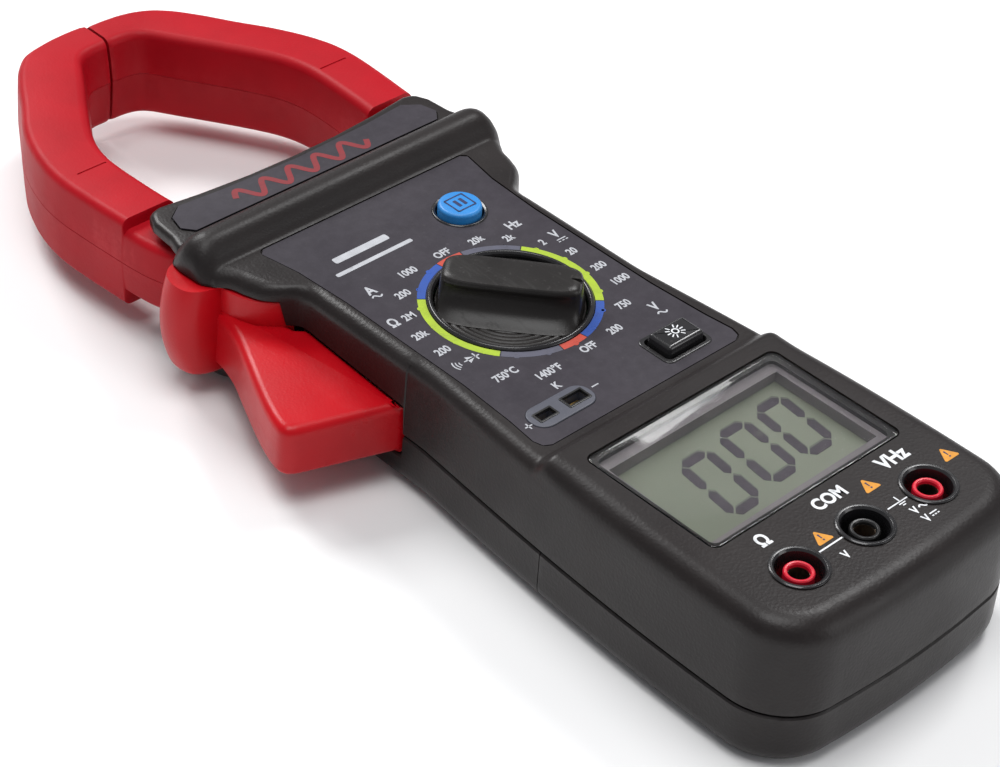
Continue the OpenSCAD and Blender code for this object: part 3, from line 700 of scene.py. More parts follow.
@dataclass(frozen=True)
class Metal(Finish):
    """Bare or plated metal with brushed scratches and a little tarnish."""

    colour: Colour
    tarnish: Colour
    rough: float = 0.3

    def material(self, effects: Effects) -> bpy.types.Material:
        """Tarnish by slow noise, scratches in roughness and bump."""
        made, t, shader = self.start()
        grain = t.group(effects.grain, {"Scale": 1500.0, "Mottle": 220.0})
        scuff = t.group(effects.scuffs, {"Amount": 0.8, "Scale": 260.0}).outputs[0]
        colour = t.mix(t.ramp(grain.outputs["Smudge"], 0.3, 1.0, (0.0, 0.6)), self.colour, self.tarnish)
        rough = t.maths(
            "ADD", t.ramp(grain.outputs["Tone"], 0.0, 1.0, (self.rough - 0.08, self.rough + 0.1)),
            t.maths("MULTIPLY", scuff, 0.15)
        )
        bump = t.add(
            "Bump",
            {"Strength": 0.15, "Distance": 0.00004, "Height": t.maths("ADD", grain.outputs["Height"], scuff)}
        )
        t.surface(shader, colour, rough, bump)
        shader.inputs["Metallic"].default_value = 1.0
        return made


@dataclass(frozen=True)
class Laminated(Finish):
    """Stacked core plates: fine lines across Z over dark steel with specks of rust."""

    def material(self, effects: Effects) -> bpy.types.Material:
        """Plate edges from a wave across Z, with rust by slow noise."""
        made, t, shader = self.start()
        place = t.add("TexCoord").outputs["Object"]
        plates = t.add("TexWave", {"Vector": place, "Scale": 320.0, "Distortion": 0.3}, bands_direction="Z")
        grain = t.group(effects.grain, {"Scale": 2000.0, "Mottle": 300.0})
        colour = t.mix(t.ramp(plates.outputs["Fac"], 0.2, 0.8), (0.10, 0.10, 0.11), (0.24, 0.24, 0.25))
        colour = t.mix(t.ramp(grain.outputs["Smudge"], 0.6, 1.0, (0.0, 0.5)), colour, (0.14, 0.06, 0.03))
        bump = t.add("Bump", {"Strength": 0.5, "Distance": 0.0001, "Height": plates.outputs["Fac"]})
        t.surface(shader, colour, t.ramp(grain.outputs["Tone"], 0.0, 1.0, (0.35, 0.6)), bump)
        shader.inputs["Metallic"].default_value = 0.8
        return made


@dataclass(frozen=True)
class Winding(Finish):
    """Copper wire wound across a bobbin, as fine ridges along Y under clear varnish."""

    def material(self, effects: Effects) -> bpy.types.Material:
        """Wire ridges from a wave along Y, darker between turns."""
        made, t, shader = self.start()
        place = t.add("TexCoord").outputs["Object"]
        turns = t.add("TexWave", {"Vector": place, "Scale": 560.0, "Distortion": 0.6}, bands_direction="Y")
        grain = t.group(effects.grain, {"Scale": 1200.0, "Mottle": 200.0})
        colour = t.mix(t.ramp(turns.outputs["Fac"], 0.1, 0.7), (0.16, 0.035, 0.012), (0.65, 0.24, 0.09))
        bump = t.add("Bump", {"Strength": 0.8, "Distance": 0.00015, "Height": turns.outputs["Fac"]})
        t.surface(shader, colour, t.ramp(grain.outputs["Smudge"], 0.0, 1.0, (0.22, 0.42)), bump)
        shader.inputs["Metallic"].default_value = 0.9
        shader.inputs["Coat Weight"].default_value = 0.5
        return made


@dataclass(frozen=True)
class Board(Finish):
    """Green board: solder mask over faint tracks and a woven glass texture."""

    def material(self, effects: Effects) -> bpy.types.Material:
        """Tracks from square cells in the mask's colour and height, weave from two waves."""
        made, t, shader = self.start()
        place = t.add("TexCoord").outputs["Object"]
        cells = t.add(
            "TexVoronoi", {"Vector": place, "Scale": 240.0, "Randomness": 0.75}, distance="MANHATTAN",
            feature="F1"
        )
        tracks = t.ramp(cells.outputs["Distance"], 0.42, 0.5)
        warp = t.add("TexWave", {"Vector": place, "Scale": 900.0}, bands_direction="X")
        weft = t.add("TexWave", {"Vector": place, "Scale": 900.0}, bands_direction="Y")
        weave = t.maths("MULTIPLY", warp.outputs["Fac"], weft.outputs["Fac"])
        colour = t.mix(tracks, (0.008, 0.075, 0.028), (0.02, 0.16, 0.055))
        colour = t.mix(t.maths("MULTIPLY", weave, 0.2), colour, (0.03, 0.12, 0.03))
        height = t.maths("ADD", tracks, t.maths("MULTIPLY", weave, 0.2))
        bump = t.add("Bump", {"Strength": 0.4, "Distance": 0.00005, "Height": height})
        grain = t.group(effects.grain, {"Scale": 1500.0, "Mottle": 90.0})
        t.surface(shader, colour, t.ramp(grain.outputs["Smudge"], 0.0, 1.0, (0.25, 0.4)), bump)
        return made


@dataclass(frozen=True)
class DisplayGlass(Finish):
    """Grey-green display: polariser film with a soft gradient and faint specks."""

    def material(self, effects: Effects) -> bpy.types.Material:
        """Colour from two slow noises, roughness from grain."""
        made, t, shader = self.start()
        place = t.add("TexCoord").outputs["Object"]
        slow = t.add("TexNoise", {"Vector": place, "Scale": 25.0, "Detail": 2.0})
        grain = t.group(effects.grain, {"Scale": 5000.0, "Mottle": 120.0})
        colour = t.mix(t.ramp(slow.outputs["Fac"], 0.35, 0.65), (0.225, 0.245, 0.185), (0.275, 0.295, 0.225))
        colour = t.mix(t.ramp(grain.outputs["Smudge"], 0.8, 1.0, (0.0, 0.15)), colour, (0.35, 0.36, 0.31))
        bump = t.add("Bump", {"Strength": 0.06, "Distance": 0.00003, "Height": grain.outputs["Height"]})
        t.surface(shader, colour, t.ramp(grain.outputs["Tone"], 0.0, 1.0, (0.42, 0.55)), bump)
        return made


@dataclass(frozen=True)
class ClearWindow(Finish):
    """Clear acrylic with fingermarks and dust in its roughness and faint scratches."""

    def material(self, effects: Effects) -> bpy.types.Material:
        """Transmission with a plain weight; smudges, specks and scratches vary the surface."""
        made, t, shader = self.start()
        grain = t.group(effects.grain, {"Scale": 900.0, "Mottle": 130.0})
        dust = t.group(effects.dust, {"Amount": 0.5, "Scale": 420.0}).outputs[0]
        scuff = t.group(effects.scuffs, {"Amount": 0.6, "Scale": 60.0}).outputs[0]
        marks = t.ramp(grain.outputs["Smudge"], 0.6, 1.0, (0.0, 0.10))
        rough = t.maths(
            "ADD", t.maths("ADD", marks, 0.015), t.maths("MULTIPLY", t.maths("ADD", dust, scuff), 0.12)
        )
        colour = t.mix(t.maths("MULTIPLY", dust, 0.4), (0.965, 0.97, 0.965), (0.8, 0.8, 0.8))
        bump = t.add(
            "Bump",
            {
                "Strength": 0.04, "Distance": 0.00003,
                "Height": t.maths("SUBTRACT", grain.outputs["Tone"], scuff)
            }
        )
        t.surface(shader, colour, rough, bump)
        shader.inputs["Transmission Weight"].default_value = 1.0
        shader.inputs["IOR"].default_value = 1.46
        return made


@dataclass(frozen=True)
class Printed(Finish):
    """Screen-printed ink: slightly uneven cover, raised grain and rubbed spots."""

    colour: Colour
    under: Colour = (0.05, 0.045, 0.055)
    rough: float = 0.5

    def material(self, effects: Effects) -> bpy.types.Material:
        """Ink colour broken by pinholes of the film beneath."""
        made, t, shader = self.start()
        grain = t.group(effects.grain, {"Scale": 3200.0, "Mottle": 500.0})
        rubbed = t.ramp(grain.outputs["Smudge"], 0.75, 1.0, (0.0, 0.35))
        darker = tuple(0.8 * c for c in self.colour)
        colour = t.mix(rubbed, t.mix(grain.outputs["Tone"], self.colour, darker), self.under)
        bump = t.add("Bump", {"Strength": 0.2, "Distance": 0.00003, "Height": grain.outputs["Height"]})
        t.surface(
            shader, colour, t.ramp(grain.outputs["Tone"], 0.0, 1.0, (self.rough - 0.06, self.rough + 0.1)),
            bump
        )
        return made


BLACK_WORN: Colour = (0.085, 0.08, 0.078)


class Finishes:
    """Every finish of the meter, made into a material once."""

    CASE = Moulded(
        "case_black", (0.0140, 0.0103, 0.0098), (0.0098, 0.0072, 0.0070), rough=0.40, grain=1700.0, bump=0.55,
        depth=0.00010, wear=0.4, worn=(0.05, 0.046, 0.045), dust=0.02, scuff=0.12, specular=0.31
    )
    LABEL = Moulded(
        "label_film", (0.030, 0.025, 0.033), (0.025, 0.021, 0.028), rough=0.44, grain=4200.0, bump=0.12,
        depth=0.00003, wear=0.1, worn=(0.12, 0.11, 0.13), dust=0.03, scuff=0.1, specular=0.33
    )
    GLOSS = Moulded(
        "gloss_black", (0.010, 0.010, 0.011), (0.014, 0.013, 0.014), rough=0.24, grain=1500.0, bump=0.07,
        depth=0.00003, wear=0.4, worn=BLACK_WORN, dust=0.06, coat=0.25
    )
    KNOB = Moulded(
        "knob_black", (0.011, 0.0095, 0.009), (0.015, 0.013, 0.012), rough=0.36, grain=2100.0, bump=0.25,
        depth=0.00005, wear=0.6, worn=(0.07, 0.065, 0.06), dust=0.05, scuff=0.25, specular=0.32
    )
    JAW = Moulded(
        "jaw_crimson", (0.41, 0.0020, 0.0095), (0.34, 0.0015, 0.0075), rough=0.47, grain=2000.0, bump=0.4,
        depth=0.00008, wear=0.3, worn=(0.55, 0.03, 0.04), dust=0.008, specular=0.17
    )
    TRIGGER = Moulded(
        "trigger_red", (0.50, 0.0015, 0.007), (0.43, 0.001, 0.006), rough=0.35, grain=2000.0, bump=0.35,
        depth=0.00008, wear=0.3, worn=(0.65, 0.03, 0.03), dust=0.008, specular=0.27
    )
    HOLD = Moulded(
        "hold_blue", (0.018, 0.235, 0.62), (0.014, 0.195, 0.54), rough=0.42, grain=3000.0, bump=0.15,
        depth=0.00004, wear=0.35, worn=(0.25, 0.55, 0.85), dust=0.03
    )
    TC_PLATE = Moulded(
        "tc_plate_grey", (0.075, 0.078, 0.10), (0.062, 0.065, 0.085), rough=0.46, grain=3400.0, bump=0.15,
        depth=0.00004, wear=0.3, worn=(0.2, 0.2, 0.22), dust=0.04
    )
    SOCKET_RED = Moulded(
        "socket_red", (0.66, 0.008, 0.03), (0.55, 0.006, 0.024), rough=0.32, grain=2500.0, bump=0.12,
        depth=0.00004, wear=0.4, worn=(0.8, 0.15, 0.15), dust=0.03, coat=0.1
    )
    SOCKET_BLACK = Moulded(
        "socket_black", (0.012, 0.012, 0.012), (0.016, 0.016, 0.016), rough=0.3, grain=2500.0, bump=0.12,
        depth=0.00004, wear=0.4, worn=BLACK_WORN, dust=0.05
    )
    SURROUND = Moulded(
        "surround_grey", (0.24, 0.21, 0.225), (0.20, 0.175, 0.19), rough=0.5, grain=2600.0, bump=0.25,
        depth=0.00005, wear=0.3, worn=(0.28, 0.26, 0.27), dust=0.05
    )
    TRAY = Moulded(
        "tray_black", (0.02, 0.02, 0.02), (0.028, 0.027, 0.026), rough=0.55, grain=1900.0, bump=0.3,
        depth=0.00006, wear=0.3, worn=BLACK_WORN, dust=0.1
    )
    MILKY = Moulded(
        "milky_white", (0.72, 0.72, 0.70), (0.64, 0.65, 0.62), rough=0.4, grain=2500.0, bump=0.1,
        depth=0.00004, wear=0.2, worn=(0.85, 0.85, 0.83), dust=0.05
    )
    RUBBER = Moulded(
        "pink_rubber", (0.52, 0.20, 0.26), (0.42, 0.15, 0.20), rough=0.6, grain=5000.0, bump=0.4,
        depth=0.00008, wear=0.2, worn=(0.6, 0.3, 0.35), dust=0.1
    )
    EPOXY = Moulded(
        "black_epoxy", (0.018, 0.018, 0.019), (0.025, 0.025, 0.026), rough=0.55, grain=4000.0, bump=0.35,
        depth=0.00004, wear=0.3, worn=BLACK_WORN, dust=0.05
    )
    SLEEVE = Moulded(
        "blue_sleeve", (0.02, 0.04, 0.22), (0.015, 0.03, 0.16), rough=0.3, grain=1800.0, bump=0.1,
        depth=0.00004, wear=0.4, worn=(0.2, 0.22, 0.35), dust=0.05, coat=0.2
    )
    WRAP = Moulded(
        "battery_wrap", (0.03, 0.035, 0.20), (0.05, 0.055, 0.24), rough=0.3, grain=900.0, bump=0.15,
        depth=0.00005, wear=0.5, worn=(0.4, 0.4, 0.42), dust=0.05, coat=0.3
    )
    ROTOR = Moulded(
        "ivory_rotor", (0.62, 0.58, 0.45), (0.55, 0.51, 0.40), rough=0.45, grain=2400.0, bump=0.2,
        depth=0.00005, wear=0.3, worn=(0.75, 0.72, 0.62), dust=0.05
    )
    BRASS = Metal("brass", (0.72, 0.50, 0.20), (0.42, 0.25, 0.10), 0.28)
    DULL_BRASS = Metal("dull_brass", (0.26, 0.20, 0.15), (0.14, 0.10, 0.08), 0.38)
    STEEL = Metal("steel", (0.60, 0.60, 0.61), (0.34, 0.32, 0.30), 0.3)
    CORE = Laminated("core_plates")
    COPPER = Winding("copper_winding")
    BOARD = Board("circuit_board")
    LCD = DisplayGlass("display_glass")
    SEGMENT = Printed("display_segment", (0.062, 0.046, 0.066), (0.12, 0.11, 0.10), 0.5)
    SHADOW = Printed("display_shadow", (0.165, 0.172, 0.142), (0.2, 0.2, 0.17), 0.5)
    WINDOW = ClearWindow("clear_window")

    def __init__(self) -> None:
        """Prepares the shared effects."""
        self.effects = Effects()
        self.made: dict[str, bpy.types.Material] = {}

    def of(self, finish: Finish) -> bpy.types.Material:
        """The finish's material, made when first asked for."""
        if finish.name not in self.made:
            self.made[finish.name] = finish.material(self.effects)
        return self.made[finish.name]


# ---------------------------------------------------------------- workshop


class Workshop:
    """Dresses pieces, hangs them on bodies and reports them."""

    def __init__(self, frame: dict[str, Any]) -> None:
        """Keeps the frame and prepares the finishes."""
        self.frame = frame
        self.finishes = Finishes()

    def fit(
        self, obj: bpy.types.Object, body: Body, finish: Finish, slot: str, *stands_for: str
    ) -> bpy.types.Object:
        """Finishes a new piece.

        Args:
            obj: The piece.
            body: Body that it rides on.
            finish: Its finish.
            slot: Not used; the record's slot that the finish belongs to.
            *stands_for: CAD nodes that it replaces.

        Returns:
            The piece.
        """
        obj.data.materials.clear()
        obj.data.materials.append(self.finishes.of(finish))
        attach(obj, body.value)
        if stands_for:
            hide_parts(*stands_for)
        LOG.info("piece %s: %d faces on %s", obj.name, len(obj.data.polygons), body.value)
        return obj

    def dress(self, finish: Finish, *nodes: str) -> None:
        """Gives CAD nodes a finish in place of their plain material."""
        material = self.finishes.of(finish)
        for name in nodes:
            obj = self.frame["nodes"][name]
            if obj.material_slots:
                for place in obj.material_slots:
                    place.material = material
            else:
                obj.data.materials.append(material)
            LOG.info("node %s: %s", name, finish.name)


# ---------------------------------------------------------------- case


def lever_top(x: Array, y: Array) -> Array:
    """Height of the trigger's top: a shallow cone about the pivot, so turning never closes its gap."""
    return 22.3 - 0.066 * np.hypot(np.asarray(x) - PIVOT[0], np.asarray(y) - PIVOT[1])


@dataclass
class CaseForm:
    """Plan and edges shared by the case halves."""

    near: float = -109.5
    bow: float = 1.0
    corner_r: float = 14.0
    corner_y: float = -94.5
    grip: float = 35.2
    waist: float = 30.2
    parting: float = 12.6
    seam: float = -44.6
    columns: int = 30
    shoulder_y: tuple[float, ...] = (
        24.0, 28.0, 29.6, 31.4, 34.0, 38.0, 42.0, 44.8, 47.0, 50.0, 54.4, 56.4, 57.5
    )
    shoulder_x: tuple[float, ...] = (
        30.2, 30.3, 30.9, 33.0, 35.6, 37.4, 38.6, 40.6, 42.0, 42.32, 42.28, 41.5, 40.0
    )

    def half_width(self, y: Array) -> Array:
        """Half width at the parting line: a quarter sine from waist to grip, then the shoulder's curve."""
        grip = self.waist + (self.grip - self.waist) * np.sin(0.5 * math.pi * np.clip((-y - 8) / 80, 0, 1))
        return np.where(y > 24.0, soft_curve(np.maximum(y, 24.0), self.shoulder_y, self.shoulder_x), grip)

    def stations(self, far: float, near: float, extra: Sequence[float] = ()) -> Array:
        """Falling places along the case, closer where the outline or the face bends."""
        coarse = np.arange(near, far, 2.2)
        fine = np.concatenate(
            [np.arange(28.0, 46.0, 0.8), np.arange(44.5, 58.0, 0.45), np.arange(-44.5, -36.5, 0.5)]
        )
        y = np.concatenate([coarse, fine, np.asarray(extra, float), [far, near]])
        y = np.unique(np.round(y[(y <= far) & (y >= near)], 3))
        keep = np.concatenate([[True], np.diff(y) > 0.12])
        keep[-1] = True
        return y[keep][::-1]

    def edge(
        self, radius: Array, cap: Array, rim: Array, sign: float, draft: float, wall: float, lift: float
    ) -> tuple[Array, Array]:
        """Inset and height down the edge at every station.

        A quarter circle of the station's radius rolls from the flat into the wall, which runs
        to the rim and ends in a small chamfer. The inside follows at the wall's thickness.

        Args:
            radius: Radius of the rolled edge at each station.
            cap: Height of the flat at each station.
            rim: Height of the wall's open edge at each station.
            sign: 1 for the front half and -1 for the back half.
            draft: Inset of the wall for each 20 mm of height.
            wall: Thickness of the wall, or 0 for the outside.
            lift: Thickness of the flat, or 0 for the outside.

        Returns:
            Inset and height, stations by profile points.
        """
        a = np.linspace(0, math.pi / 2, 9)[None, :]
        r = np.maximum(radius - 0.7 * wall, 0.8)[:, None] if wall else radius[:, None]
        top = (cap - sign * lift)[:, None]
        z_arc = top - sign * r * (1 - np.cos(a))
        t = np.linspace(0, 1, 7)[None, 1:]
        start = top - sign * r
        end = rim[:, None] + sign * 0.35
        z_wall = start + t * (end - start)
        z = np.concatenate([z_arc, z_wall, rim[:, None]], axis=1)
        d = np.concatenate(
            [r * (1 - np.sin(a)), 0 * z_wall, 0 * rim[:, None] + (0.0 if wall else 0.4)], axis=1
        )
        low = rim[:, None]
        z = np.maximum(z, low) if sign > 0 else np.minimum(z, low)
        return d + wall + draft * np.abs(z - low) / 20, z

    def shell(
        self, y: Array, radius: Array, cap: Array, rims: tuple[Array, Array], sign: float, closed_end: bool,
        draft: float, wall: float = 0.0, lift: float = 0.0, end: tuple[float, float, float] = (0.0, 0.0, 0.0),
        tuck: float = 0.0
    ) -> Surface:
        """One skin of a case half.

        The edge profile is carried down both sides and, where the end is closed, round the
        corners and along the bowed end. Straight rows join the two sides over the flat.

        Args:
            y: Places of the side stations, falling.
            radius: Radius of the rolled edge at each station.
            cap: Height of the flat at each station.
            rims: Height of the open edge on the left and right at each station.
            sign: 1 for the front half and -1 for the back half.
            closed_end: Whether the near end is closed.
            draft: Inset of the wall for each 20 mm of height.
            wall: Thickness of the wall for an inner skin.
            lift: Thickness of the flat for an inner skin.
            end: Radius, cap and rim at the near end.
            tuck: How far the left wing is drawn in under the trigger's guard.

        Returns:
            The skin as an open surface.
        """
        s = Surface()
        w = self.half_width(y)
        rows = []
        inner = []
        for side, rim in ((-1, rims[0]), (1, rims[1])):
            d, z = self.edge(radius, cap, rim, sign, draft, wall, lift)
            drawn_in = tuck * smooth_step(y, 31.5, 43.0)[:, None] if side < 0 else 0.0
            x = side * (w[:, None] - drawn_in - d)
            patch = np.stack([x, np.broadcast_to(y[:, None], x.shape), z], axis=-1)
            s.grid(patch if side * sign < 0 else patch[:, ::-1])
            inner.append(patch[:, 0])
        rows.append((inner[0], inner[1]))
        if closed_end:
            blend = np.linspace(0, 1, 13)
            ease = blend * blend * (3 - 2 * blend)
            r = radius[-1] + (end[0] - radius[-1]) * ease
            c = cap[-1] + (end[1] - cap[-1]) * ease
            d, z = self.edge(r, c, np.full_like(r, end[2]), sign, draft, wall, lift)
            a = (blend * math.pi / 2)[:, None]
            corner = []
            for side in (-1, 1):
                x = side * (self.grip - self.corner_r + (self.corner_r - d) * np.cos(a))
                yy = self.corner_y - (self.corner_r - d) * np.sin(a)
                patch = np.stack([x, yy, z], axis=-1)
                s.grid(patch if side * sign < 0 else patch[:, ::-1])
                corner.append(patch[:, 0])
            rows.append((corner[0], corner[1]))
            x = np.linspace(-1, 1, self.columns + 1)[:, None] * (self.grip - self.corner_r)
            yy = self.near + self.bow * (x / (self.grip - self.corner_r)) ** 2 + d[-1:]
            patch = np.stack([x + 0 * yy, yy, np.broadcast_to(z[-1:], yy.shape)], axis=-1)
            s.grid(patch if sign > 0 else patch[:, ::-1])
            last = patch[:, 0]
        t = np.linspace(0, 1, self.columns + 1)[None, :, None]
        for left, right in rows:
            grid = left[:, None] * (1 - t) + right[:, None] * t
            if closed_end and left is rows[-1][0]:
                grid[-1] = last
            s.grid(grid if sign > 0 else grid[:, ::-1])
        return s


@dataclass
class FrontCase:
    """Front half: face, raised display section, guard ridge and head plate."""

    form: CaseForm
    face: float = 31.0
    display: float = 33.5
    head_edge: tuple[tuple[float, float], ...] = (
        (0, 55), (40.6, 55), (39.0, 60.5), (38.6, 66.5), (37.0, 70.2), (34.0, 71.0), (24, 69.7), (12, 68.7), (
            0, 68.4
        )
    )
    label_edge: tuple[tuple[float, float], ...] = (
        (0, -38.4), (25.7, -38.4), (27.3, -37.5), (27.9, -35.1), (27.1, -28), (26.3, -14), (26.3, 20),
        (27.1, 34), (28.9, 43.8), (27.7, 44.95), (0, 44.95)
    )
    head_label_edge: tuple[tuple[float, float], ...] = (
        (0, 58.3), (33.7, 58.3), (35.9, 61.1), (34.9, 65.4), (31.1, 68.0), (20, 67.0), (0, 66.3)
    )

    def height(self, y: Array) -> Array:
        """Height of the face: the display section steps down, and the guard ridge rises and falls."""
        base = self.display + (self.face - self.display) * smooth_step(y, -43.2, -39.4)
        ridge = soft_curve(
            np.clip(y, 44.4, 57.5), (44.4, 45.2, 46.2, 47.4, 49.0, 51.0, 53.2, 55.6, 56.8, 57.5),
            (0, 0.12, 0.9, 2.4, 3.9, 4.5, 4.0, 2.0, 0.6, -0.3)
        )
        return np.where(y > 44.4, self.face + ridge, base)

    def radius(self, y: Array) -> Array:
        """Radius of the rolled edge: soft on the grip, tighter by the face, full on the guard."""
        grip = 3.2 + 1.4 * smooth_step(-y, 38.0, 50.0)
        return grip + 2.6 * smooth_step(y, 42.0, 49.0)

    def rims(self, y: Array) -> tuple[Array, Array]:
        """Height of the open edge: raised on the left over the trigger and its neck."""
        right = np.full_like(y, self.form.parting + HALF_JOINT)
        left = np.where((y > -2.0) & (y < 31.2), lever_top(-30.3, y) + 0.35, right)
        return np.where(y >= 31.2, 27.5, left), right

    def cutters(self) -> list[bpy.types.Object]:
        """Solids to take away for the label, window, dial, buttons and sockets."""
        face_hole = (self.face - 5, self.face + 4)
        cuts = [
            block("cut_neck", ring_loop(PIVOT, 15.2, 120), 10.0, 27.5),
            block(
                "cut_label", round_corners(both_sides(self.label_edge), 1.6, 5), self.face - 0.5,
                self.face + 1.6
            ),
            block(
                "cut_glass", box_loop(-26.25, -80.55, 26.25, -46.75, 2.0), self.display - 1.32,
                self.display + 2
            ),
            block("cut_view", box_loop(-24.5, -78.8, 24.5, -48.5, 1.5), self.display - 6, self.display + 1),
            block("cut_dial", ring_loop((0, 0), 16.0, 96), *face_hole),
            block("cut_hold", ring_loop(HOLD_AT, 5.15), *face_hole),
            block("cut_lamp", box_loop(10.05, -34.65, 21.55, -26.75, 1.3), *face_hole),
            block("cut_probe", box_loop(-24.45, -34.45, -8.15, -27.55, 3.2), *face_hole),
        ]
        for i in (-1, 0, 1):
            jack = ring_loop((SOCKET_PITCH * i, SOCKET_Y), 5.3)
            cuts.append(block(f"cut_jack_{i}", jack, self.display - 6, self.display + 2))
        return cuts

    def build(self, shop: Workshop) -> None:
        """Makes the shell, cuts its openings and adds the head plate."""
        f = self.form
        y = f.stations(57.5, f.corner_y, (-2.1, -1.9, 31.1, 31.3))
        args = (y, self.radius(y), self.height(y), self.rims(y), 1.0, True, 0.7)
        end = (5.6, self.display, f.parting + HALF_JOINT)
        shell = thicken("front_shell", f.shell(*args, end=end), f.shell(*args, WALL, 2.5, end), 60.0)
        carve(shell, self.cutters(), 38.0)
        plate = round_corners(both_sides(self.head_edge), 3.0, 6)
        head = Surface().stack(rounded_slab(plate, 28.0, 30.6, 1.5, 0.3)).build("head_plate_cover")
        recess = round_corners(both_sides(self.head_label_edge), 1.5, 5)
        carve(head, [block("cut_head_label", recess, 30.2, 32.0)], 38.0)
        shop.fit(shell, Body.METER, Finishes.CASE, "case", "front_case")
        shop.fit(head, Body.METER, Finishes.CASE, "case")


@dataclass
class BackCase:
    """Back half with its battery cover and the plate under the head."""

    form: CaseForm
    radius: float = 4.2

    def floor(self, y: Array) -> Array:
        """Height of the back: flat under the grip, rising under the head."""
        return 4.2 * np.clip((y - 38.0) / 34.0, 0, 1)

    def rims(self, y: Array) -> tuple[Array, Array]:
        """Height of the open edge: lowered on the left where the trigger and its guard pass."""
        right = np.full_like(y, self.form.parting - HALF_JOINT)
        left = np.where((y > -2.0) & (y < 31.2), 7.1, right)
        return np.where(y >= 31.2, 4.75, left), right

    def screw_wells(self, places: Sequence[Sequence[float]]) -> list[bpy.types.Object]:
        """Round wells for the screws, open to the back."""
        return [block(f"cut_well_{i}", ring_loop(p, 3.1, 40), -2.0, 5.0) for i, p in enumerate(places)]

    def build(self, shop: Workshop) -> None:
        """Makes the back shell, the head's under plate and the battery cover."""
        f = self.form
        y = f.stations(57.2, f.seam + 0.1, (-2.1, -1.9, 31.1, 31.3))
        radius = np.minimum(np.full_like(y, self.radius), 4.2 - 0.6 * self.floor(y))
        args = (y, radius, self.floor(y), self.rims(y), -1.0, False, 0.0)
        back = thicken("back_shell", f.shell(*args, tuck=3.6), f.shell(*args, WALL, WALL, tuck=3.6), 60.0)
        wells = [(26.0, -38.0), (-26.0, -38.0), (24.3, 22.0), (-24.3, -9.0), (14.0, 44.4), (31.0, 46.0)]
        carve(back, self.screw_wells(wells), 38.0)
        shop.fit(back, Body.METER, Finishes.CASE, "case", "back_case")
        edge = round_corners(
            both_sides(((0, 55), (40.0, 55), (38.0, 60), (37.6, 66), (35.0, 69), (24, 68), (0, 67))), 2.5, 5
        )
        under = rounded_slab(edge, 3.0, 8.9, 0.4, 1.2)
        lift = 4.2 * np.clip((under[..., 1] - 38.0) / 34.0, 0, 1) - 2.6
        under[..., 2] += np.where(under[..., 2] < 5.0, np.maximum(lift, -0.4), 0.0)
        shop.fit(Surface().stack(under).build("head_under_plate"), Body.METER, Finishes.CASE, "case")
        y = f.stations(f.seam - 0.1, f.corner_y)
        radius = np.full_like(y, self.radius)
        args = (y, radius, 0 * y, (0 * y + f.parting - HALF_JOINT,) * 2, -1.0, True, 0.0)
        end = (self.radius, 0.0, f.parting - HALF_JOINT)
        cover = thicken("battery_lid", f.shell(*args, end=end), f.shell(*args, WALL, WALL, end), 60.0)
        carve(cover, self.screw_wells([(26.0, -99.0), (-26.0, -99.0)]), 38.0)
        shop.fit(cover, Body.METER, Finishes.CASE, "case", "battery_cover")
        wells_wall = Surface()
        for at in wells + [(26.0, -99.0), (-26.0, -99.0)]:
            ring = soft_profile(
                [(3.05, 0.6), (4.2, 0.6), (4.2, 11.5), (1.7, 11.5), (1.7, 6.0), (3.05, 6.0)], 0.2
            )
            turned_solid(wells_wall, ring, at, closed=True)
        shop.fit(wells_wall.build("screw_wells"), Body.METER, Finishes.CASE, "case")


# ---------------------------------------------------------------- jaws and trigger


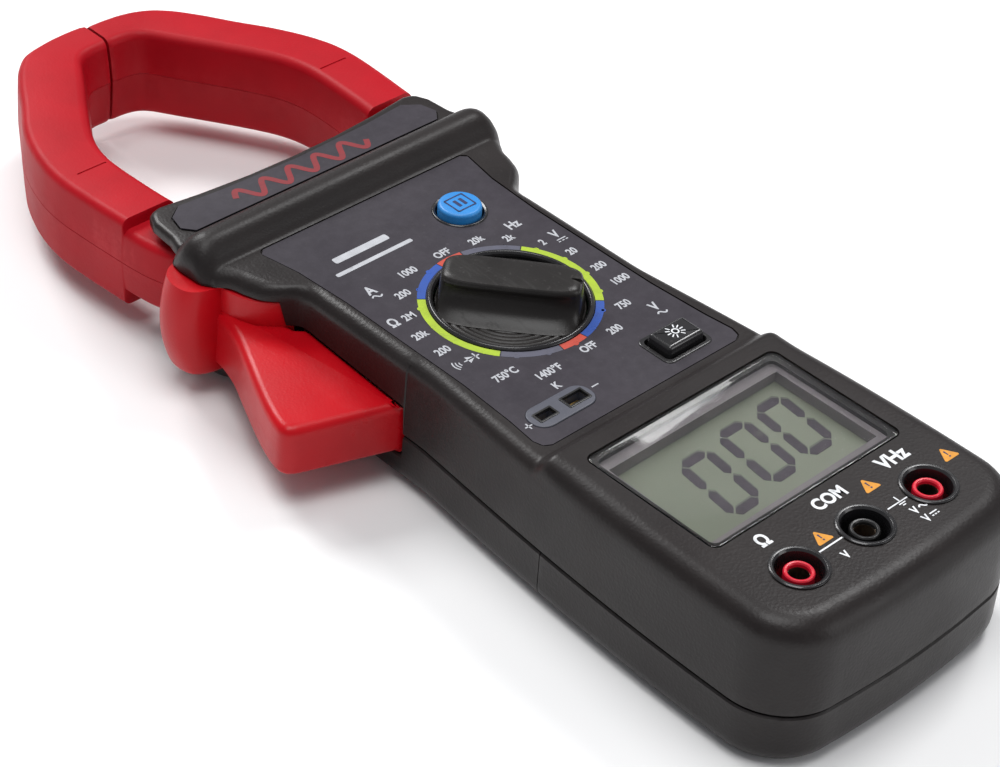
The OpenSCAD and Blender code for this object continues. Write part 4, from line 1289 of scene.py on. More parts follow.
@dataclass
class Jaws:
    """Pair of jaws, each of two shells that meet at a seam."""

    z0: float = 5.8
    seam: float = 17.5
    z1: float = 27.9
    root_z0: float = 9.4
    root_z1: float = 25.4
    step_y: float = 74.3
    stations: int = 170
    outer: tuple[tuple[float, float], ...] = (
        (0.35, 143.3), (6, 143.2), (10.5, 142.7), (14, 141.7), (17.4, 140.0), (21, 136.9), (25, 131.7), (
            30, 123.7
        ),
        (35.6, 115.1), (38.2, 110.2), (40.2, 105.6), (41.6, 101.0), (42.3, 96), (42.4, 92), (42.2, 87), (
            41.9, 82
        ),
        (41.5, 77), (41.3, 74.3), (41.0, 71), (40.2, 66), (38.8, 61.5), (36.2, 57.0), (31.4, 52.6), (
            24, 49.9
        ),
        (14, 49.4), (0.35, 49.2)
    )
    inner: tuple[tuple[float, float], ...] = (
        (0.35, 131.6), (4.2, 131.55), (6.8, 130.9), (8.2, 129.9), (9.3, 128.5), (10.9, 125.9), (13.6, 121.7),
        (18.2, 114.7), (22.4, 107.9), (24.4, 104.2), (25.7, 101.0), (26.5, 98.0), (27.0, 94.5), (27.1, 91),
        (27.0, 86.5), (26.8, 82), (26.5, 77), (26.2, 74.3), (25.2, 71), (22.5, 68), (19.5, 66.5), (
            15.5, 65.5
        ),
        (11.5, 65.0), (7.5, 64.85), (4, 64.8), (0.35, 64.8)
    )

    @staticmethod
    def side_of(edge: int, radius: float, lean: float, lip: float = 0.07) -> Array:
        """Foot, wall and rolled shoulder on one edge of the half section.

        Args:
            edge: 0 for the outer edge and 1 for the inner edge.
            radius: Radius of the shoulder.
            lean: Inset of the wall at its top.
            lip: Chamfer at the seam.

        Returns:
            Rows of edge, inset, share of the height, and drop taken off that height.
        """
        a = np.linspace(0, math.pi / 2, 9)
        roll = np.stack(
            [0 * a + edge, lean + radius * (1 - np.cos(a)), 0 * a + 1, radius * (1 - np.sin(a))], axis=1
        )
        return np.concatenate([[[edge, lip, 0, 0], [edge, 0, 0, -lip], [edge, 0.5 * lean, 0.5, 0]], roll])

    def section(self, side: int) -> tuple[Array, Array, Array, Array]:
        """Half section of a jaw from its outer foot over to its inner foot, one array per column."""
        outer = self.side_of(0, 2.5, 0.9) if side > 0 else self.side_of(0, 2.0, 0.4)
        table = np.concatenate([outer, self.side_of(1, 2.2, 0.9)[::-1]])
        return table[:, 0], table[:, 1], table[:, 2], table[:, 3]

    def solid(self, upper: bool, side: int) -> Surface:
        """One shell: the half section carried from the tip to the root between the paired edges.

        Paired knots of the two edges share one path length, and stations crowd at the step, where
        the height falls from the window part to the root.

        Args:
            upper: Whether the shell lies above the seam.
            side: 1 for the right jaw and -1 for the left jaw.

        Returns:
            The closed shell.
        """
        o, i = np.asarray(self.outer, float), np.asarray(self.inner, float)
        chords = 0.5 * (
            np.linalg.norm(np.diff(o, axis=0), axis=1) + np.linalg.norm(np.diff(i, axis=0), axis=1)
        )
        knots = np.concatenate([[0.0], np.cumsum(chords)])
        step = knots[int(np.argmin(np.abs(o[:, 1] - self.step_y)))]
        near_step = step + np.array([-0.6, -0.3, -0.12, 0.0, 0.1, 0.2, 0.3, 0.42, 0.7])
        s = np.unique(np.concatenate([np.linspace(0, knots[-1], self.stations), near_step]))
        s = s[(np.abs(s - step) > 0.72) | np.isin(s, near_step)]
        out, inn = soft_curve(s, knots, o), soft_curve(s, knots, i)
        if side < 0:
            swell = 0.8 * smooth_step(out[:, 1], 98.0, 118.0) * (1 - smooth_step(out[:, 1], 139.5, 143.2))
            out = out + swell[:, None]
        across = inn - out
        u = across / np.linalg.norm(across, axis=1)[:, None]
        root = smooth_step(s, step, step + 0.42)[:, None]
        sign = 1.0 if upper else -1.0
        end = self.z1 + (self.root_z1 - self.z1) * root if upper else self.z0 + (
            self.root_z0 - self.z0
        ) * root
        edge, depth, share, drop = (v[None, :] for v in self.section(side))
        start = self.seam + sign * 0.03
        z = start + share * (end - start) - sign * drop
        tip = 0.35 * np.exp(-s / 0.5)[:, None]
        p = out[:, None] + edge[..., None] * across[:, None]
        p = p + ((1 - 2 * edge) * (depth + tip))[..., None] * u[:, None]
        loops = np.concatenate([p, z[..., None]], axis=-1)
        loops[..., 0] *= side
        return Surface().stack(loops)

    def mark(self, side: int) -> bpy.types.Object:
        """Cutter for the engraved centre mark across the jaw's top."""
        x = side * 33.9
        return block("cut_mark", box_loop(x - 3.8, 93.55, x + 3.8, 94.05, 0.2), self.z1 - 0.2, self.z1 + 2)

    def build(self, shop: Workshop) -> None:
        """Makes the four shells."""
        for side, name, body in ((1, "fixed_jaw", Body.METER), (-1, "moving_jaw", Body.JAW)):
            top = self.solid(True, side)
            low = self.solid(False, side)
            if side < 0:
                for part, span in ((top, (17.7, 21.3)), (low, (9.6, 17.3))):
                    ear = soft_profile(
                        [(2.56, span[0]), (6.4, span[0]), (6.4, span[1]), (2.56, span[1])], 0.4
                    )
                    turned_solid(part, ear, PIVOT, closed=True)
            upper = top.build(f"{name}_top_shell", 38.0)
            carve(upper, [self.mark(side)], 38.0)
            shop.fit(upper, body, Finishes.JAW, "jaw", f"{name}_upper")
            shop.fit(low.build(f"{name}_bottom_shell", 38.0), body, Finishes.JAW, "jaw", f"{name}_lower")


@dataclass
class Trigger:
    """Trigger lever, its curved neck around the pivot and the bulged finger guard."""

    z0: float = 7.8
    neck_r: float = 14.9
    reach: tuple[tuple[float, float], ...] = (
        (-40.4, 50), (-40.5, 43), (-42.2, 36.5), (-45.3, 29.5), (-48.9, 21.5), (-51.4, 15.3), (-52.6, 11.2),
        (-52.85, 9.2), (-52.4, 7.7), (-51.2, 6.6), (-49.3, 5.75)
    )
    inside: tuple[tuple[float, float], ...] = (
        (-30.7, -0.8), (-28.5, -1.15), (-28.5, 28.0), (-30.7, 30.0), (-30.7, 50)
    )
    fin: tuple[tuple[float, float], ...] = (
        (-36.6, 43.7), (-39.5, 43.75), (-42.8, 44.2), (-45.4, 45.2), (-47.3, 47.0), (-48.0, 49.4), (
            -47.9, 51.8
        ),
        (-46.9, 54.2), (-45.0, 56.0), (-42.4, 57.0), (-39.6, 57.3), (-36.6, 57.3)
    )

    def lever_solid(self, s: Surface) -> None:
        """Rolled slab whose top lies on the shallow cone about the pivot.

        A straight slab is made first, then each point's height is scaled from the underside to
        the height of the cone at its place.
        """
        loop = np.concatenate([spline_path(self.reach, 60), np.asarray(self.inside, float)])
        loops = rounded_slab(loop, self.z0, self.z0 + 10.0, 2.0, 1.4, 8, 0.3)
        flat = loops[..., :2]
        top = lever_top(flat[..., 0], flat[..., 1])
        lift = loops[..., 2] - self.z0
        loops[..., 2] = np.where(lift < 5.0, loops[..., 2], top - (10.0 - lift))
        s.stack(loops)

    def neck_solid(self, s: Surface) -> None:
        """Wall between two arcs around the pivot, rolled a little at its top."""
        a = np.radians(np.linspace(166, 243, 48))
        r_in, r_out = self.neck_r - 3.4, self.neck_r
        arcs = [np.stack([PIVOT[0] + r * np.cos(a), PIVOT[1] + r * np.sin(a)], axis=1) for r in (r_out, r_in)]
        s.stack(rounded_slab(np.concatenate([arcs[0], arcs[1][::-1]]), 17.0, 27.2, 0.3, 0.2, 4))

    def fin_solid(self, s: Surface) -> None:
        """Smooth outline that bulges at mid height, and shrinks with the square of the distance from it."""
        loop = spline_path(self.fin, 56)
        z = 16.15 - 11.05 * np.cos(np.linspace(0, math.pi, 34))
        edge = np.clip(1.6 - (z - 5.1), 0, 1.6)
        roll = 1.6 - np.sqrt(np.maximum(1.6**2 - edge**2, 0))
        bulge = ((z - 17.0) / 11.9) ** 2
        loops = np.stack([at_height(inset(loop, r + 0.01), h) for r, h in zip(roll, z)])
        loops[..., 0] = -36.6 + (loops[..., 0] + 36.6) * (1 - 0.25 * bulge)[:, None]
        loops[..., 1] = 50.5 + (loops[..., 1] - 50.5) * (1 - 0.10 * bulge)[:, None]
        s.stack(loops)

    def build(self, shop: Workshop) -> None:
        """Makes the trigger as one piece."""
        s = Surface()
        self.lever_solid(s)
        self.neck_solid(s)
        self.fin_solid(s)
        shop.fit(s.build("trigger_grip", 40.0), Body.JAW, Finishes.TRIGGER, "trigger", "trigger")


# ---------------------------------------------------------------- dial, buttons and sockets


@dataclass
class Dial:
    """Range knob with its grip bar, and the ring around it."""

    disc_r: float = 15.4
    disc_z: float = 30.5
    turn: float = 130.0
    grip_z: tuple[float, ...] = (30.2, 30.9, 31.8, 33.0, 34.4, 35.8, 36.8, 37.4, 37.7, 37.8)
    grip_half_w: tuple[float, ...] = (9.6, 8.2, 6.9, 5.9, 5.3, 5.1, 5.15, 4.85, 4.3, 3.6)
    grip_half_l: tuple[float, ...] = (14.9, 14.7, 14.6, 14.5, 14.4, 14.3, 14.1, 13.7, 13.1, 12.4)

    def disc(self, s: Surface) -> None:
        """Turned disc with fine concentric ribs, each a half sine of the radius."""
        r = np.linspace(self.disc_r - 0.5, 4.0, 90)
        ribs = 0.22 * np.abs(np.sin((self.disc_r - r) * math.pi / 1.1)) * (r > 9.0)
        face = np.stack([r, self.disc_z - 0.55 + ribs], axis=1)
        rim = [
            (self.disc_r, 26.7), (self.disc_r, 29.9), (self.disc_r - 0.15, 30.25), (self.disc_r - 0.4, 30.4)
        ]
        s.stack(revolve(np.concatenate([rim, face]), (0, 0), 96))

    def grip(self, s: Surface) -> None:
        """Bar of superellipses that narrow from a wide foot to a waist and a soft top."""
        z = np.linspace(self.grip_z[0], self.grip_z[-1], 36)
        w = soft_curve(z, self.grip_z, self.grip_half_w)
        n = soft_curve(z, self.grip_z, self.grip_half_l)
        s.stack(turned(np.stack([at_height(oval(a, b, 4.6, 120), h) for a, b, h in zip(n, w, z)]), self.turn))

    def build(self, shop: Workshop) -> None:
        """Makes the knob, its pointer notch and the ring."""
        s = Surface()
        self.disc(s)
        self.grip(s)
        knob = s.build("range_knob_cap", 32.0)
        notch = turned(round_corners([(-14.6, -0.9), (-11.4, 0.0), (-14.6, 0.9)], 0.15, 4), self.turn)
        carve(knob, [block("cut_pointer", notch, 36.9, 39.0)], 32.0)
        shop.fit(knob, Body.KNOB, Finishes.KNOB, "gloss_black", "knob")
        ring = soft_profile(
            [(15.68, 29.2), (17.0, 29.2), (17.0, 31.15), (16.55, 31.6), (16.1, 31.55), (15.68, 31.0)], 0.3
        )
        bezel = turned_solid(Surface(), ring, (0, 0), closed=True).build("knob_ring", 50.0)
        shop.fit(bezel, Body.METER, Finishes.GLOSS, "gloss_black", "dial_bezel")


class Buttons:
    """Round hold button and rectangular lamp button with their marks."""

    def hold(self, shop: Workshop) -> None:
        """Domed cap: the crown falls with the square of the radius, and the edge rolls over."""
        r = np.linspace(3.9, 0.2, 10)
        crown = np.stack([r, 32.95 + 0.15 * (1 - (r / 3.9) ** 2)], axis=1)
        a = np.linspace(0, math.pi / 2, 7)[:-1]
        roll = np.stack([3.9 + 0.8 * np.cos(a), 32.15 + 0.8 * np.sin(a)], axis=1)
        s = Surface().stack(revolve(np.concatenate([[(4.7, 28.2)], roll, crown]), HOLD_AT))
        shop.fit(s.build("hold_cap", 40.0), Body.HOLD, Finishes.HOLD, "hold_blue", "hold_button")
        ring = soft_profile([(5.12, 29.5), (6.0, 29.5), (6.0, 31.0), (5.7, 31.25), (5.12, 31.0)], 0.2)
        collar = turned_solid(Surface(), ring, HOLD_AT, closed=True).build("hold_collar", 50.0)
        shop.fit(collar, Body.METER, Finishes.GLOSS, "gloss_black")

    def lamp(self, shop: Workshop) -> None:
        """Rolled slab in a thin frame."""
        x, y = LAMP_AT
        cap = rounded_slab(box_loop(x - 5.3, y - 3.5, x + 5.3, y + 3.5, 1.1), 28.2, 33.3, 0.9, 0.1, 7, 0.35)
        shop.fit(
            Surface().stack(cap).build("lamp_cap", 40.0), Body.LAMP, Finishes.GLOSS, "gloss_black",
            "light_button"
        )
        outer = rounded_slab(box_loop(x - 6.6, y - 4.8, x + 6.6, y + 4.8, 1.8), 29.5, 31.15, 0.3, 0.1)
        frame = Surface().stack(outer).build("lamp_frame", 40.0)
        carve(
            frame, [block("cut_frame", box_loop(x - 5.7, y - 3.9, x + 5.7, y + 3.9, 1.3), 28.0, 33.0)], 38.0
        )
        shop.fit(frame, Body.METER, Finishes.GLOSS, "gloss_black")

    def build(self, shop: Workshop) -> None:
        """Makes both buttons."""
        self.hold(shop)
        self.lamp(shop)


class Sockets:
    """Probe sockets, their rings, and the thermocouple socket."""

    def build(self, shop: Workshop) -> None:
        """Makes the rings, the coloured sleeves and the slotted plate."""
        rings = Surface()
        for i in (-1, 0, 1):
            ring = [
                (4.6, 26.0), (5.2, 26.0), (5.2, 33.45), (5.75, 33.45), (5.75, 33.8), (5.45, 34.0),
                (5.0, 33.95), (4.6, 33.5)
            ]
            turned_solid(rings, soft_profile(ring, 0.12), (SOCKET_PITCH * i, SOCKET_Y), closed=True)
        shop.fit(
            rings.build("socket_collars", 50.0), Body.METER, Finishes.GLOSS, "gloss_black", "socket_rings"
        )
        for i, node, finish, slot in (
            (-1, "ohm_socket", Finishes.SOCKET_RED, "socket_red"),
            (0, "com_socket", Finishes.SOCKET_BLACK, "socket_black"),
            (1, "volt_socket", Finishes.SOCKET_RED, "socket_red"),
        ):
            sleeve = [
                (2.08, 24.0), (4.5, 24.0), (4.5, 25.6), (2.95, 26.0), (2.95, 32.6), (2.7, 32.9), (2.3, 32.85),
                (2.08, 32.5)
            ]
            piece = turned_solid(
                Surface(), soft_profile(sleeve, 0.12), (SOCKET_PITCH * i, SOCKET_Y), closed=True
            )
            shop.fit(piece.build(node.replace("_socket", "_sleeve"), 50.0), Body.METER, finish, slot, node)
        plate = Surface().stack(
            rounded_slab(box_loop(-24.3, -34.3, -8.3, -27.7, 3.0), 25.0, 31.15, 0.25, 0.1)
        )
        plate = plate.build("thermocouple_plate", 38.0)
        slots = [block("cut_small", box_loop(-22.5, -32.1, -18.3, -29.9, 0.15), 26.0, 33.0)]
        slots.append(block("cut_large", box_loop(-15.0, -32.4, -9.8, -29.6, 0.15), 26.0, 33.0))
        carve(plate, slots, 38.0)
        shop.fit(plate, Body.METER, Finishes.TC_PLATE, "tc_plate", "thermocouple_socket")
        lips = Surface()
        for x0, y0, x1, y1 in ((-22.9, -32.5, -17.9, -29.5), (-15.4, -32.8, -9.4, -29.2)):
            lips.stack(rounded_slab(box_loop(x0, y0, x1, y1, 0.35), 30.6, 31.3, 0.15, 0.05, 4))
        lip = lips.build("slot_lips", 38.0)
        cuts = [block("cut_a", box_loop(-22.4, -32.0, -18.4, -30.0, 0.15), 26.0, 33.0)]
        cuts.append(block("cut_b", box_loop(-14.9, -32.3, -9.9, -29.7, 0.15), 26.0, 33.0))
        carve(lip, cuts, 38.0)
        shop.fit(lip, Body.METER, Finishes.SOCKET_BLACK, "socket_black")


@dataclass
class Display:
    """Window and display digits."""

    panel_z: float = 27.8
    lean: float = 0.10
    origin: tuple[tuple[float, float], ...] = ((-7.5, -64.9), (4.1, -63.7), (14.9, -63.2))

    def segment(self, a: Sequence[float], b: Sequence[float], width: float) -> Array:
        """Six-sided bar between two points, pointed at both ends."""
        p, q = np.asarray(a, float), np.asarray(b, float)
        t = (q - p) / np.linalg.norm(q - p)
        n = np.array([-t[1], t[0]]) * width / 2
        s = t * width / 2
        return np.array([p, p + s + n, q - s + n, q, q - s - n, p + s - n])

    def digit(self, at: Sequence[float]) -> list[Array]:
        """The six outer bars of a nought, leaning a little."""
        w, h, g = 3.35, 7.2, 0.3
        bars = [
            ((-w + g, h), (w - g, h)), ((w, h - g), (w, g)), ((w, -g), (w, -h + g)),
            ((w - g, -h), (-w + g, -h)), ((-w, -h + g), (-w, -g)), ((-w, g), (-w, h - g)),
        ]
        loops = []
        for a, b in bars:
            loop = self.segment(a, b, 2.0)
            loop[:, 0] += self.lean * loop[:, 1]
            loops.append(loop + np.asarray(at))
        return loops

    def build(self, shop: Workshop) -> None:
        """Makes the digits, their shadows and the window."""
        digits, shadows = Surface(), Surface()
        for at in self.origin:
            for loop in self.digit((at[0] + 1.1, at[1] + 1.07)):
                digits.stack(prism(loop, self.panel_z + 0.04, self.panel_z + 0.07))
                shadows.stack(prism(loop + (0.34, 0.42), self.panel_z + 0.005, self.panel_z + 0.03))
        shop.fit(digits.build("display_digits", 30.0), Body.METER, Finishes.SEGMENT, "lcd")
        shop.fit(shadows.build("display_shadows", 30.0), Body.METER, Finishes.SHADOW, "lcd")
        pane = rounded_slab(box_loop(-26.0, -80.3, 26.0, -47.0, 1.8), 32.24, 33.42, 0.35, 0.05, 5)
        shop.fit(
            Surface().stack(pane).build("display_window", 25.0), Body.METER, Finishes.WINDOW, "lens",
            "lens_window"
        )


# ---------------------------------------------------------------- printing


@dataclass
class Printing:
    """Numbers, units and colour bands printed on the face."""

    label_z: float = 30.9
    display_z: float = 33.5
    thickness: float = 0.03
    parts: dict[tuple[Ink, Body], list[tuple[Array, list[list[int]]]]] = field(default_factory=dict)

    def keep(self, ink: Ink, points: Array, faces: list[list[int]], body: Body = Body.METER) -> None:
        """Adds a patch of print to an ink."""
        self.parts.setdefault((ink, body), []).append((points, faces))

    def shape(self, ink: Ink, loop: Array, z: float, body: Body = Body.METER) -> None:
        """Adds a flat closed outline as a thin plate."""
        s = Surface().stack(prism(loop, z + 0.005, z + self.thickness))
        self.keep(ink, np.concatenate(s.points), s.faces, body)

    def text(
        self, ink: Ink, words: str, at: Sequence[float], z: float, height: float, wide: float = 0.82,
        bold: float = 0.032
    ) -> None:
        """Adds short generic lettering.

        The type is a curve that is made a mesh first, then scaled to the height of its
        capitals, narrowed, and centred on its place.

        Args:
            ink: Ink of the print.
            words: Numbers or unit signs.
            at: Middle of the print.
            z: Height of the surface.
            height: Height of a capital.
            wide: Width for the height.
            bold: Extra weight of the strokes.
        """
        curve = bpy.data.curves.new("type", "FONT")
        curve.body, curve.size, curve.offset, curve.resolution_u = words, 1.0, bold, 4
        curve.extrude = 0.5 * self.thickness / height * 0.7
        obj = new_object("type", curve)
        graph = bpy.context.evaluated_depsgraph_get()
        mesh = bpy.data.meshes.new_from_object(obj.evaluated_get(graph))
        co = np.empty(len(mesh.vertices) * 3)
        mesh.vertices.foreach_get("co", co)
        p = co.reshape(-1, 3)
        faces = [list(f.vertices) for f in mesh.polygons]
        bpy.data.objects.remove(obj)
        bpy.data.curves.remove(curve)
        bpy.data.meshes.remove(mesh)
        scale = height / 0.72
        p = p * np.array([scale * wide, scale, scale])
        p[:, :2] += np.asarray(at) - 0.5 * (p[:, :2].min(0) + p[:, :2].max(0))
        p[:, 2] += z + 0.005 - p[:, 2].min()
        self.keep(ink, p, faces)

    def band(
        self, ink: Ink, start: float, end: float, r0: float, r1: float, at: Sequence[float] = (0.0, 0.0),
        z: float | None = None
    ) -> None:
        """Adds an arc band between two angles, clockwise from +Y, and two radii."""
        a = np.radians(np.linspace(start, end, max(8, int(abs(end - start) / 3))))
        arc = np.stack([np.sin(a), np.cos(a)], axis=1)
        loop = np.concatenate([arc * r1, arc[::-1] * r0]) + np.asarray(at)
        self.shape(ink, loop, self.label_z if z is None else z)

    def stroke(
        self, ink: Ink, a: Sequence[float], b: Sequence[float], width: float, z: float,
        body: Body = Body.METER
    ) -> None:
        """Adds a straight line with square ends."""
        p, q = np.asarray(a, float), np.asarray(b, float)
        t = (q - p) / np.linalg.norm(q - p)
        n = np.array([-t[1], t[0]]) * width / 2
        self.shape(ink, np.array([p + n, q + n, q - n, p - n]), z, body)

    def wave(
        self, ink: Ink, at: Sequence[float], length: float, height: float, width: float, z: float,
        turns: float = 1.0
    ) -> None:
        """Adds a sine line, as the sign for alternating current."""
        t = np.linspace(0, 1, int(26 * max(turns, 1)))
        mid = np.stack(
            [at[0] + length * (t - 0.5), at[1] + 0.5 * height * np.sin(2 * math.pi * turns * t)], axis=1
        )
        d = np.gradient(mid, axis=0)
        n = np.stack([-d[:, 1], d[:, 0]], axis=1) / np.linalg.norm(d, axis=1)[:, None] * width / 2
        self.shape(ink, np.concatenate([mid + n, (mid - n)[::-1]]), z)

    def bands(self) -> None:
        """Colour bands around the dial with their small position rings."""
        spans = (
            (Ink.RED, -10, 10), (Ink.SLATE, 10, 50), (Ink.LIME, 50, 130), (Ink.BLUE, 130, 170),
            (Ink.RED, 170, 190), (Ink.SLATE, 190, 230), (Ink.LIME, 230, 310), (Ink.BLUE, 310, 350),
        )
        for ink, start, end in spans:
            self.band(ink, start + 0.4, end - 0.4, 17.15, 18.85)
        for step in range(18):
            a = math.radians(20 * step)
            at = (18.6 * math.sin(a), 18.6 * math.cos(a))
            ink = next(i for i, s, e in spans if s <= (20 * step if 20 * step < 350 else 0) <= e)
            self.band(ink, 0, 360, 0.34, 0.62, at, self.label_z + 0.01)

    def numbers(self) -> None:
        """Range numbers and unit signs around the dial."""
        marks = (
            ("OFF", 0.1, 20.6), ("20k", 8.8, 19.6), ("2k", 14.6, 16.0), ("2", 18.9, 10.4), ("20", 21.4, 4.3),
            ("200", 22.1, -2.9), ("1000", 22.4, -8.9), ("750", 16.6, -15.4), ("200", 9.3, -20.2), (
                "OFF", 1.1, -21.0
            ),
            ("1400°F", -10.3, -21.6), ("750°C", -17.6, -16.9), ("200", -21.9, -3.6), ("20k", -21.9, 2.9),
            ("2M", -19.6, 8.9), ("200", -15.5, 15.2), ("1000", -9.6, 20.2),
        )
        for words, x, y in marks:
            self.text(Ink.LIGHT, words, (x, y), self.label_z, 2.0)
        for words, x, y, h in (
            ("Hz", 18.6, 18.9, 2.5), ("V", 22.9, 10.9, 2.5), ("V", 20.9, -19.9, 2.5), ("Ω", -23.4, 9.3, 2.6),
            ("A", -19.9, 20.3, 2.7)
        ):
            self.text(Ink.LIGHT, words, (x, y), self.label_z, h)
        for x, y in ((20.9, -22.3), (-19.9, 17.9)):
            self.wave(Ink.LIGHT, (x, y), 2.4, 0.9, 0.38, self.label_z)
        self.stroke(Ink.LIGHT, (21.7, 8.9), (24.1, 8.9), 0.3, self.label_z)
        for x in (21.9, 22.9, 23.9):
            self.stroke(Ink.LIGHT, (x - 0.3, 8.2), (x + 0.3, 8.2), 0.3, self.label_z)

    def signs(self) -> None:
        """Diode and tone signs, polarity signs, and plain rules where a name would stand."""
        z, x, y = self.label_z, -20.2, -9.0
        self.shape(Ink.LIGHT, np.array([(x, y - 1.1), (x + 1.9, y), (x, y + 1.1)]), z)
        self.stroke(Ink.LIGHT, (x + 2.1, y - 1.1), (x + 2.1, y + 1.1), 0.35, z)
        self.stroke(Ink.LIGHT, (x - 0.9, y), (x + 3.0, y), 0.3, z)
        for r in (0.8, 1.5, 2.2):
            self.band(Ink.LIGHT, 235, 305, r, r + 0.28, (x - 1.1, y))
        for at in ((-25.2, -31.4), (-6.5, -30.5)):
            self.stroke(Ink.LIGHT, (at[0] - 0.9, at[1]), (at[0] + 0.9, at[1]), 0.32, z)
        self.stroke(Ink.LIGHT, (-25.2, -32.3), (-25.2, -30.5), 0.32, z)
        self.text(Ink.LIGHT, "K", (-12.2, -25.7), z, 2.0)
        self.shape(Ink.LIGHT, box_loop(-19.0, 31.3, -4.5, 33.2, 0.5), z)
        self.shape(Ink.LIGHT, box_loop(-21.8, 27.6, -1.4, 28.7, 0.4), z)
        self.wave(Ink.CRIMSON, (-2.0, 62.3), 36.0, 4.6, 1.35, 30.9, 5.0)

    def display_marks(self) -> None:
        """Socket names, amber triangles with an exclamation mark, the ground sign and the joining lines."""
        z = self.display_z
        for words, x, y, h in (("Ω", -17.6, -84.0, 3.0), ("COM", 0.6, -84.0, 2.9), ("VHz", 18.6, -84.0, 3.3)):
            self.text(Ink.WHITE, words, (x, y), z, h, 0.9, 0.035)
        for x, y in ((-8.8, -90.4), (9.1, -86.4), (27.6, -90.0)):
            base = round_corners([(-2.15, -1.5), (2.15, -1.5), (0.0, 2.1)], 0.3, 4) + (x, y)
            self.shape(Ink.AMBER, base, z)
            self.shape(
                Ink.DARK, np.array([(-0.2, 0.9), (0.2, 0.9), (0.12, -0.3), (-0.12, -0.3)]) + (x, y), z + 0.02
            )
            self.shape(Ink.DARK, ring_loop((x, y - 0.75), 0.22, 16), z + 0.02)
        self.stroke(Ink.WHITE, (-12.2, -92.9), (-5.6, -92.9), 0.35, z)
        self.stroke(Ink.WHITE, (6.6, -93.2), (8.8, -93.2), 0.3, z)
        self.stroke(Ink.WHITE, (11.4, -93.2), (12.1, -93.2), 0.3, z)
        self.stroke(Ink.WHITE, (10.1, -91.6), (10.1, -93.0), 0.3, z)
        for k, w in enumerate((1.3, 0.85, 0.4)):
            self.stroke(Ink.WHITE, (10.1 - w, -93.2 - 0.55 * k), (10.1 + w, -93.2 - 0.55 * k), 0.26, z)

    def signs_by_sockets(self) -> None:
        """Alternating and direct voltage signs beside the sockets."""
        z = self.display_z
        self.text(Ink.WHITE, "V", (10.3, -96.6), z, 1.9)
        self.wave(Ink.WHITE, (12.6, -96.6), 2.0, 0.8, 0.32, z)
        self.text(Ink.WHITE, "V", (10.3, -99.4), z, 1.9)
        self.stroke(Ink.WHITE, (11.6, -99.0), (13.6, -99.0), 0.28, z)
        for x in (11.85, 12.6, 13.35):
            self.stroke(Ink.WHITE, (x - 0.24, -99.7), (x + 0.24, -99.7), 0.28, z)
        self.text(Ink.WHITE, "V", (-8.8, -96.4), z, 1.9)

    def button_marks(self) -> None:
        """A pause sign on the hold button and a lamp sign on the lamp button."""
        for x in (12.55, 14.05):
            self.shape(Ink.DARK, box_loop(x - 0.4, 28.3, x + 0.4, 30.7, 0.15), 33.1, Body.HOLD)
        for a, b in (
            ((10.9, 27.2), (15.7, 27.2)), ((10.9, 31.8), (15.7, 31.8)), ((10.9, 27.2), (10.9, 31.8)),
            ((15.7, 27.2), (15.7, 31.8))
        ):
            self.stroke(Ink.DARK, a, b, 0.35, 33.06, Body.HOLD)
        cx, cy, z = 15.8, -30.4, 33.29
        a = np.radians(np.linspace(0, 360, 41)[:-1])
        ring = np.stack([np.sin(a), np.cos(a)], axis=1)
        s = Surface()
        corners = ((0.55, z), (0.85, z), (0.85, z + 0.03), (0.55, z + 0.03), (0.55, z))
        s.grid(np.stack([at_height(ring * r + (cx, cy), h) for r, h in corners]), wrap=True)
        self.keep(Ink.WHITE, np.concatenate(s.points), s.faces, Body.LAMP)
        for turn in (-150, -120, -90, -60, -30, 30, 60, 90, 120, 150):
            t = math.radians(turn)
            d = np.array([math.sin(t), math.cos(t)])
            self.stroke(Ink.WHITE, d * 1.15 + (cx, cy), d * 2.1 + (cx, cy), 0.26, z, Body.LAMP)

    def build(self, shop: Workshop) -> None:
        """Prints everything and makes one piece of each ink on each body."""
        self.bands()
        self.numbers()
        self.signs()
        self.display_marks()
        self.signs_by_sockets()
        self.button_marks()
        for (ink, body), patches in self.parts.items():
            start = np.cumsum([0] + [len(p) for p, _ in patches[:-1]])
            faces = [[v + int(s) for v in f] for s, (_, fs) in zip(start, patches) for f in fs]
            name = f"print_{ink.name.lower()}_{body.value}"
            mesh = bpy.data.meshes.new(name)
            mesh.from_pydata((np.concatenate([p for p, _ in patches]) * MM).tolist(), [], faces)
            obj = new_object(name, mesh)
            weld(mesh, 1e-7)
            slot = {Body.METER: "label", Body.HOLD: "hold_blue", Body.LAMP: "gloss_black"}[body]
            shop.fit(obj, body, Printed(f"ink_{ink.name.lower()}", ink.value), slot)


# ---------------------------------------------------------------- inside


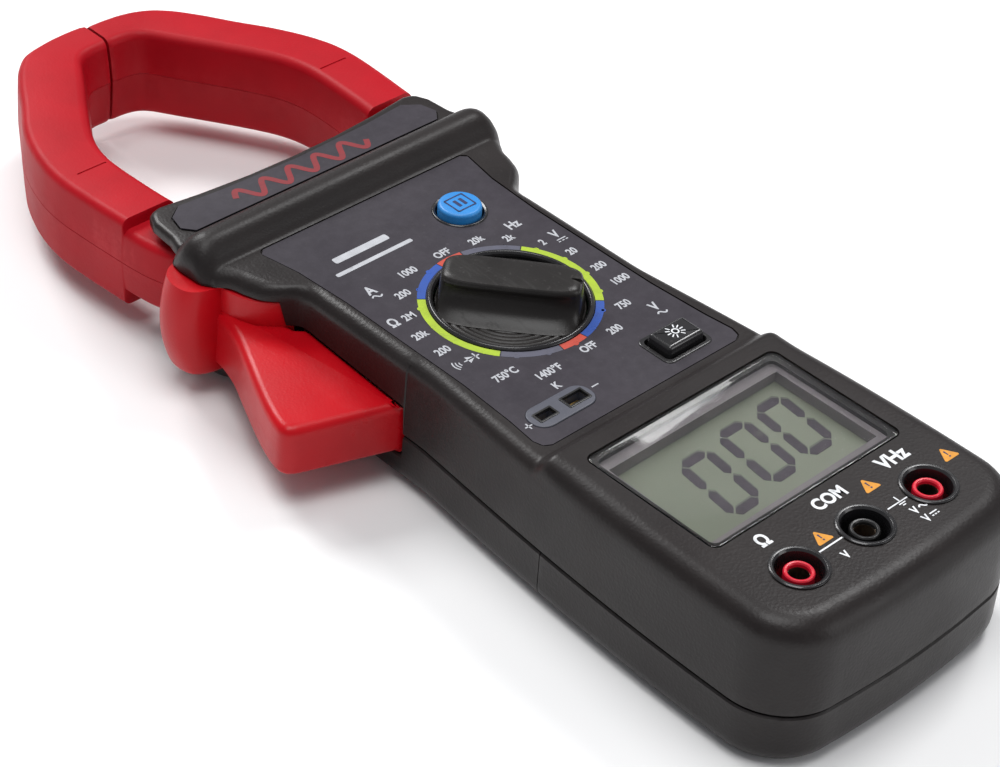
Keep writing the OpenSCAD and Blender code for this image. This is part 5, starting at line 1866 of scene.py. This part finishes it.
class Inside:
    """CAD nodes whose shape is kept, with the finish of each."""

    FINISH_OF: tuple[tuple[Finish, tuple[str, ...]], ...] = (
        (Finishes.LABEL, ("face_label", "head_label")),
        (Finishes.LCD, ("lcd_panel",)),
        (Finishes.SURROUND, ("lcd_frame",)),
        (Finishes.MILKY, ("backlight",)),
        (Finishes.RUBBER, ("zebra_strips",)),
        (Finishes.BOARD, ("main_pcb",)),
        (Finishes.EPOXY, ("measuring_ic", "small_parts")),
        (Finishes.SLEEVE, ("electrolytic_caps",)),
        (Finishes.BRASS, ("buzzer", "wiper_contacts", "thermocouple_contacts")),
        (Finishes.DULL_BRASS, ("socket_tubes",)),
        (Finishes.WRAP, ("battery",)),
        (Finishes.TRAY, ("battery_snap", "battery_tray")),
        (Finishes.STEEL, (
            "hold_switch", "light_switch", "detent_balls", "trigger_screws", "pivot_pin", "jaw_spring",
            "case_screws", "cover_screws", "jaw_screws", "board_screws"
        )),
        (Finishes.ROTOR, ("switch_rotor",)),
        (Finishes.CORE, ("fixed_core", "moving_core")),
        (Finishes.COPPER, ("fixed_coil", "moving_coil")),
    )

    def build(self, shop: Workshop) -> None:
        """Dresses every kept node."""
        for finish, nodes in self.FINISH_OF:
            shop.dress(finish, *nodes)


# ---------------------------------------------------------------- studio


@dataclass
class Studio:
    """Camera, pale floor and soft lights."""

    eye: tuple[float, float, float] = (-0.32521, -0.31435, 0.36407)
    right: tuple[float, float, float] = (0.72510423, -0.6865559, 0.05352424)
    up: tuple[float, float, float] = (0.39427491, 0.47762135, 0.78512747)
    back: tuple[float, float, float] = (-0.56459822, -0.54819599, 0.61701703)
    lens: float = 100.6547

    def camera(self) -> None:
        """Places the camera and makes it the scene's."""
        data = bpy.data.cameras.new("camera")
        data.lens, data.sensor_width, data.clip_start, data.clip_end = self.lens, 36.0, 0.01, 20.0
        obj = new_object("camera", data)
        turn = Matrix((self.right, self.up, self.back)).transposed().to_4x4()
        obj.matrix_world = Matrix.Translation(self.eye) @ turn
        bpy.context.scene.camera = obj

    def floor(self) -> None:
        """Pale floor under the back plane."""
        mesh = bpy.data.meshes.new("studio_floor")
        mesh.from_pydata(
            [(-4, -4, -0.0004), (4, -4, -0.0004), (4, 4, -0.0004), (-4, 4, -0.0004)], [], [(0, 1, 2, 3)]
        )
        obj = new_object("studio_floor", mesh)
        material = bpy.data.materials.new("pale_floor")
        material.use_nodes = True
        shader = material.node_tree.nodes["Principled BSDF"]
        shader.inputs["Base Color"].default_value = (0.86, 0.86, 0.86, 1.0)
        shader.inputs["Roughness"].default_value = 0.9
        mesh.materials.append(material)
        obj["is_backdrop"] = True

    def light(
        self, name: str, at: Sequence[float], target: Sequence[float], size: float, power: float
    ) -> None:
        """Adds a square area light that faces its target."""
        data = bpy.data.lights.new(name, "AREA")
        data.size, data.energy, data.shape = size, power, "SQUARE"
        obj = new_object(name, data)
        z = np.asarray(at, float) - np.asarray(target, float)
        z /= np.linalg.norm(z)
        x = np.cross((0.0, 0.0, 1.0), z) if abs(z[2]) < 0.99 else np.array([1.0, 0.0, 0.0])
        x /= np.linalg.norm(x)
        y = np.cross(z, x)
        obj.matrix_world = Matrix.Translation(at) @ Matrix((x, y, z)).transposed().to_4x4()

    def build(self) -> None:
        """Sets up the whole studio."""
        self.camera()
        self.floor()
        scene = bpy.context.scene
        scene.view_settings.view_transform, scene.view_settings.look = "Standard", "None"
        world = bpy.data.worlds.new("studio")
        scene.world = world
        world.use_nodes = True
        world.node_tree.nodes["Background"].inputs[0].default_value = (0.94, 0.95, 1.0, 1.0)
        world.node_tree.nodes["Background"].inputs[1].default_value = 0.30
        self.light("key", (0.10, 0.95, 0.85), (0, 0.02, 0), 0.5, 10.0)
        self.light("top", (-0.2, -0.1, 1.2), (0, 0, 0), 0.7, 8.0)
        self.light("fill", (0.6, -1.1, 0.45), (0, -0.05, 0), 0.6, 2.5)
        self.light("sheen", (0.72, 0.10, 1.02), (0, 0.02, 0), 0.32, 5.5)


def main() -> dict[str, Any]:
    """Builds the meter in order and dresses it.

    Returns:
        The CAD box from straight after loading, as plain lists.
    """
    logging.basicConfig(level=logging.INFO, format="%(message)s")
    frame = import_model()
    cad_box = [list(map(float, corner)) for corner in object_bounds()]
    shop = Workshop(frame)
    Studio().build()
    form = CaseForm()
    FrontCase(form).build(shop)
    BackCase(form).build(shop)
    Jaws().build(shop)
    Trigger().build(shop)
    Dial().build(shop)
    Buttons().build(shop)
    Sockets().build(shop)
    Display().build(shop)
    Printing().build(shop)
    Inside().build(shop)
    return {"cad": cad_box}


if __name__ == "__main__":
    sizes = main()
    sizes["visual"] = [list(map(float, corner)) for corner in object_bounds()]
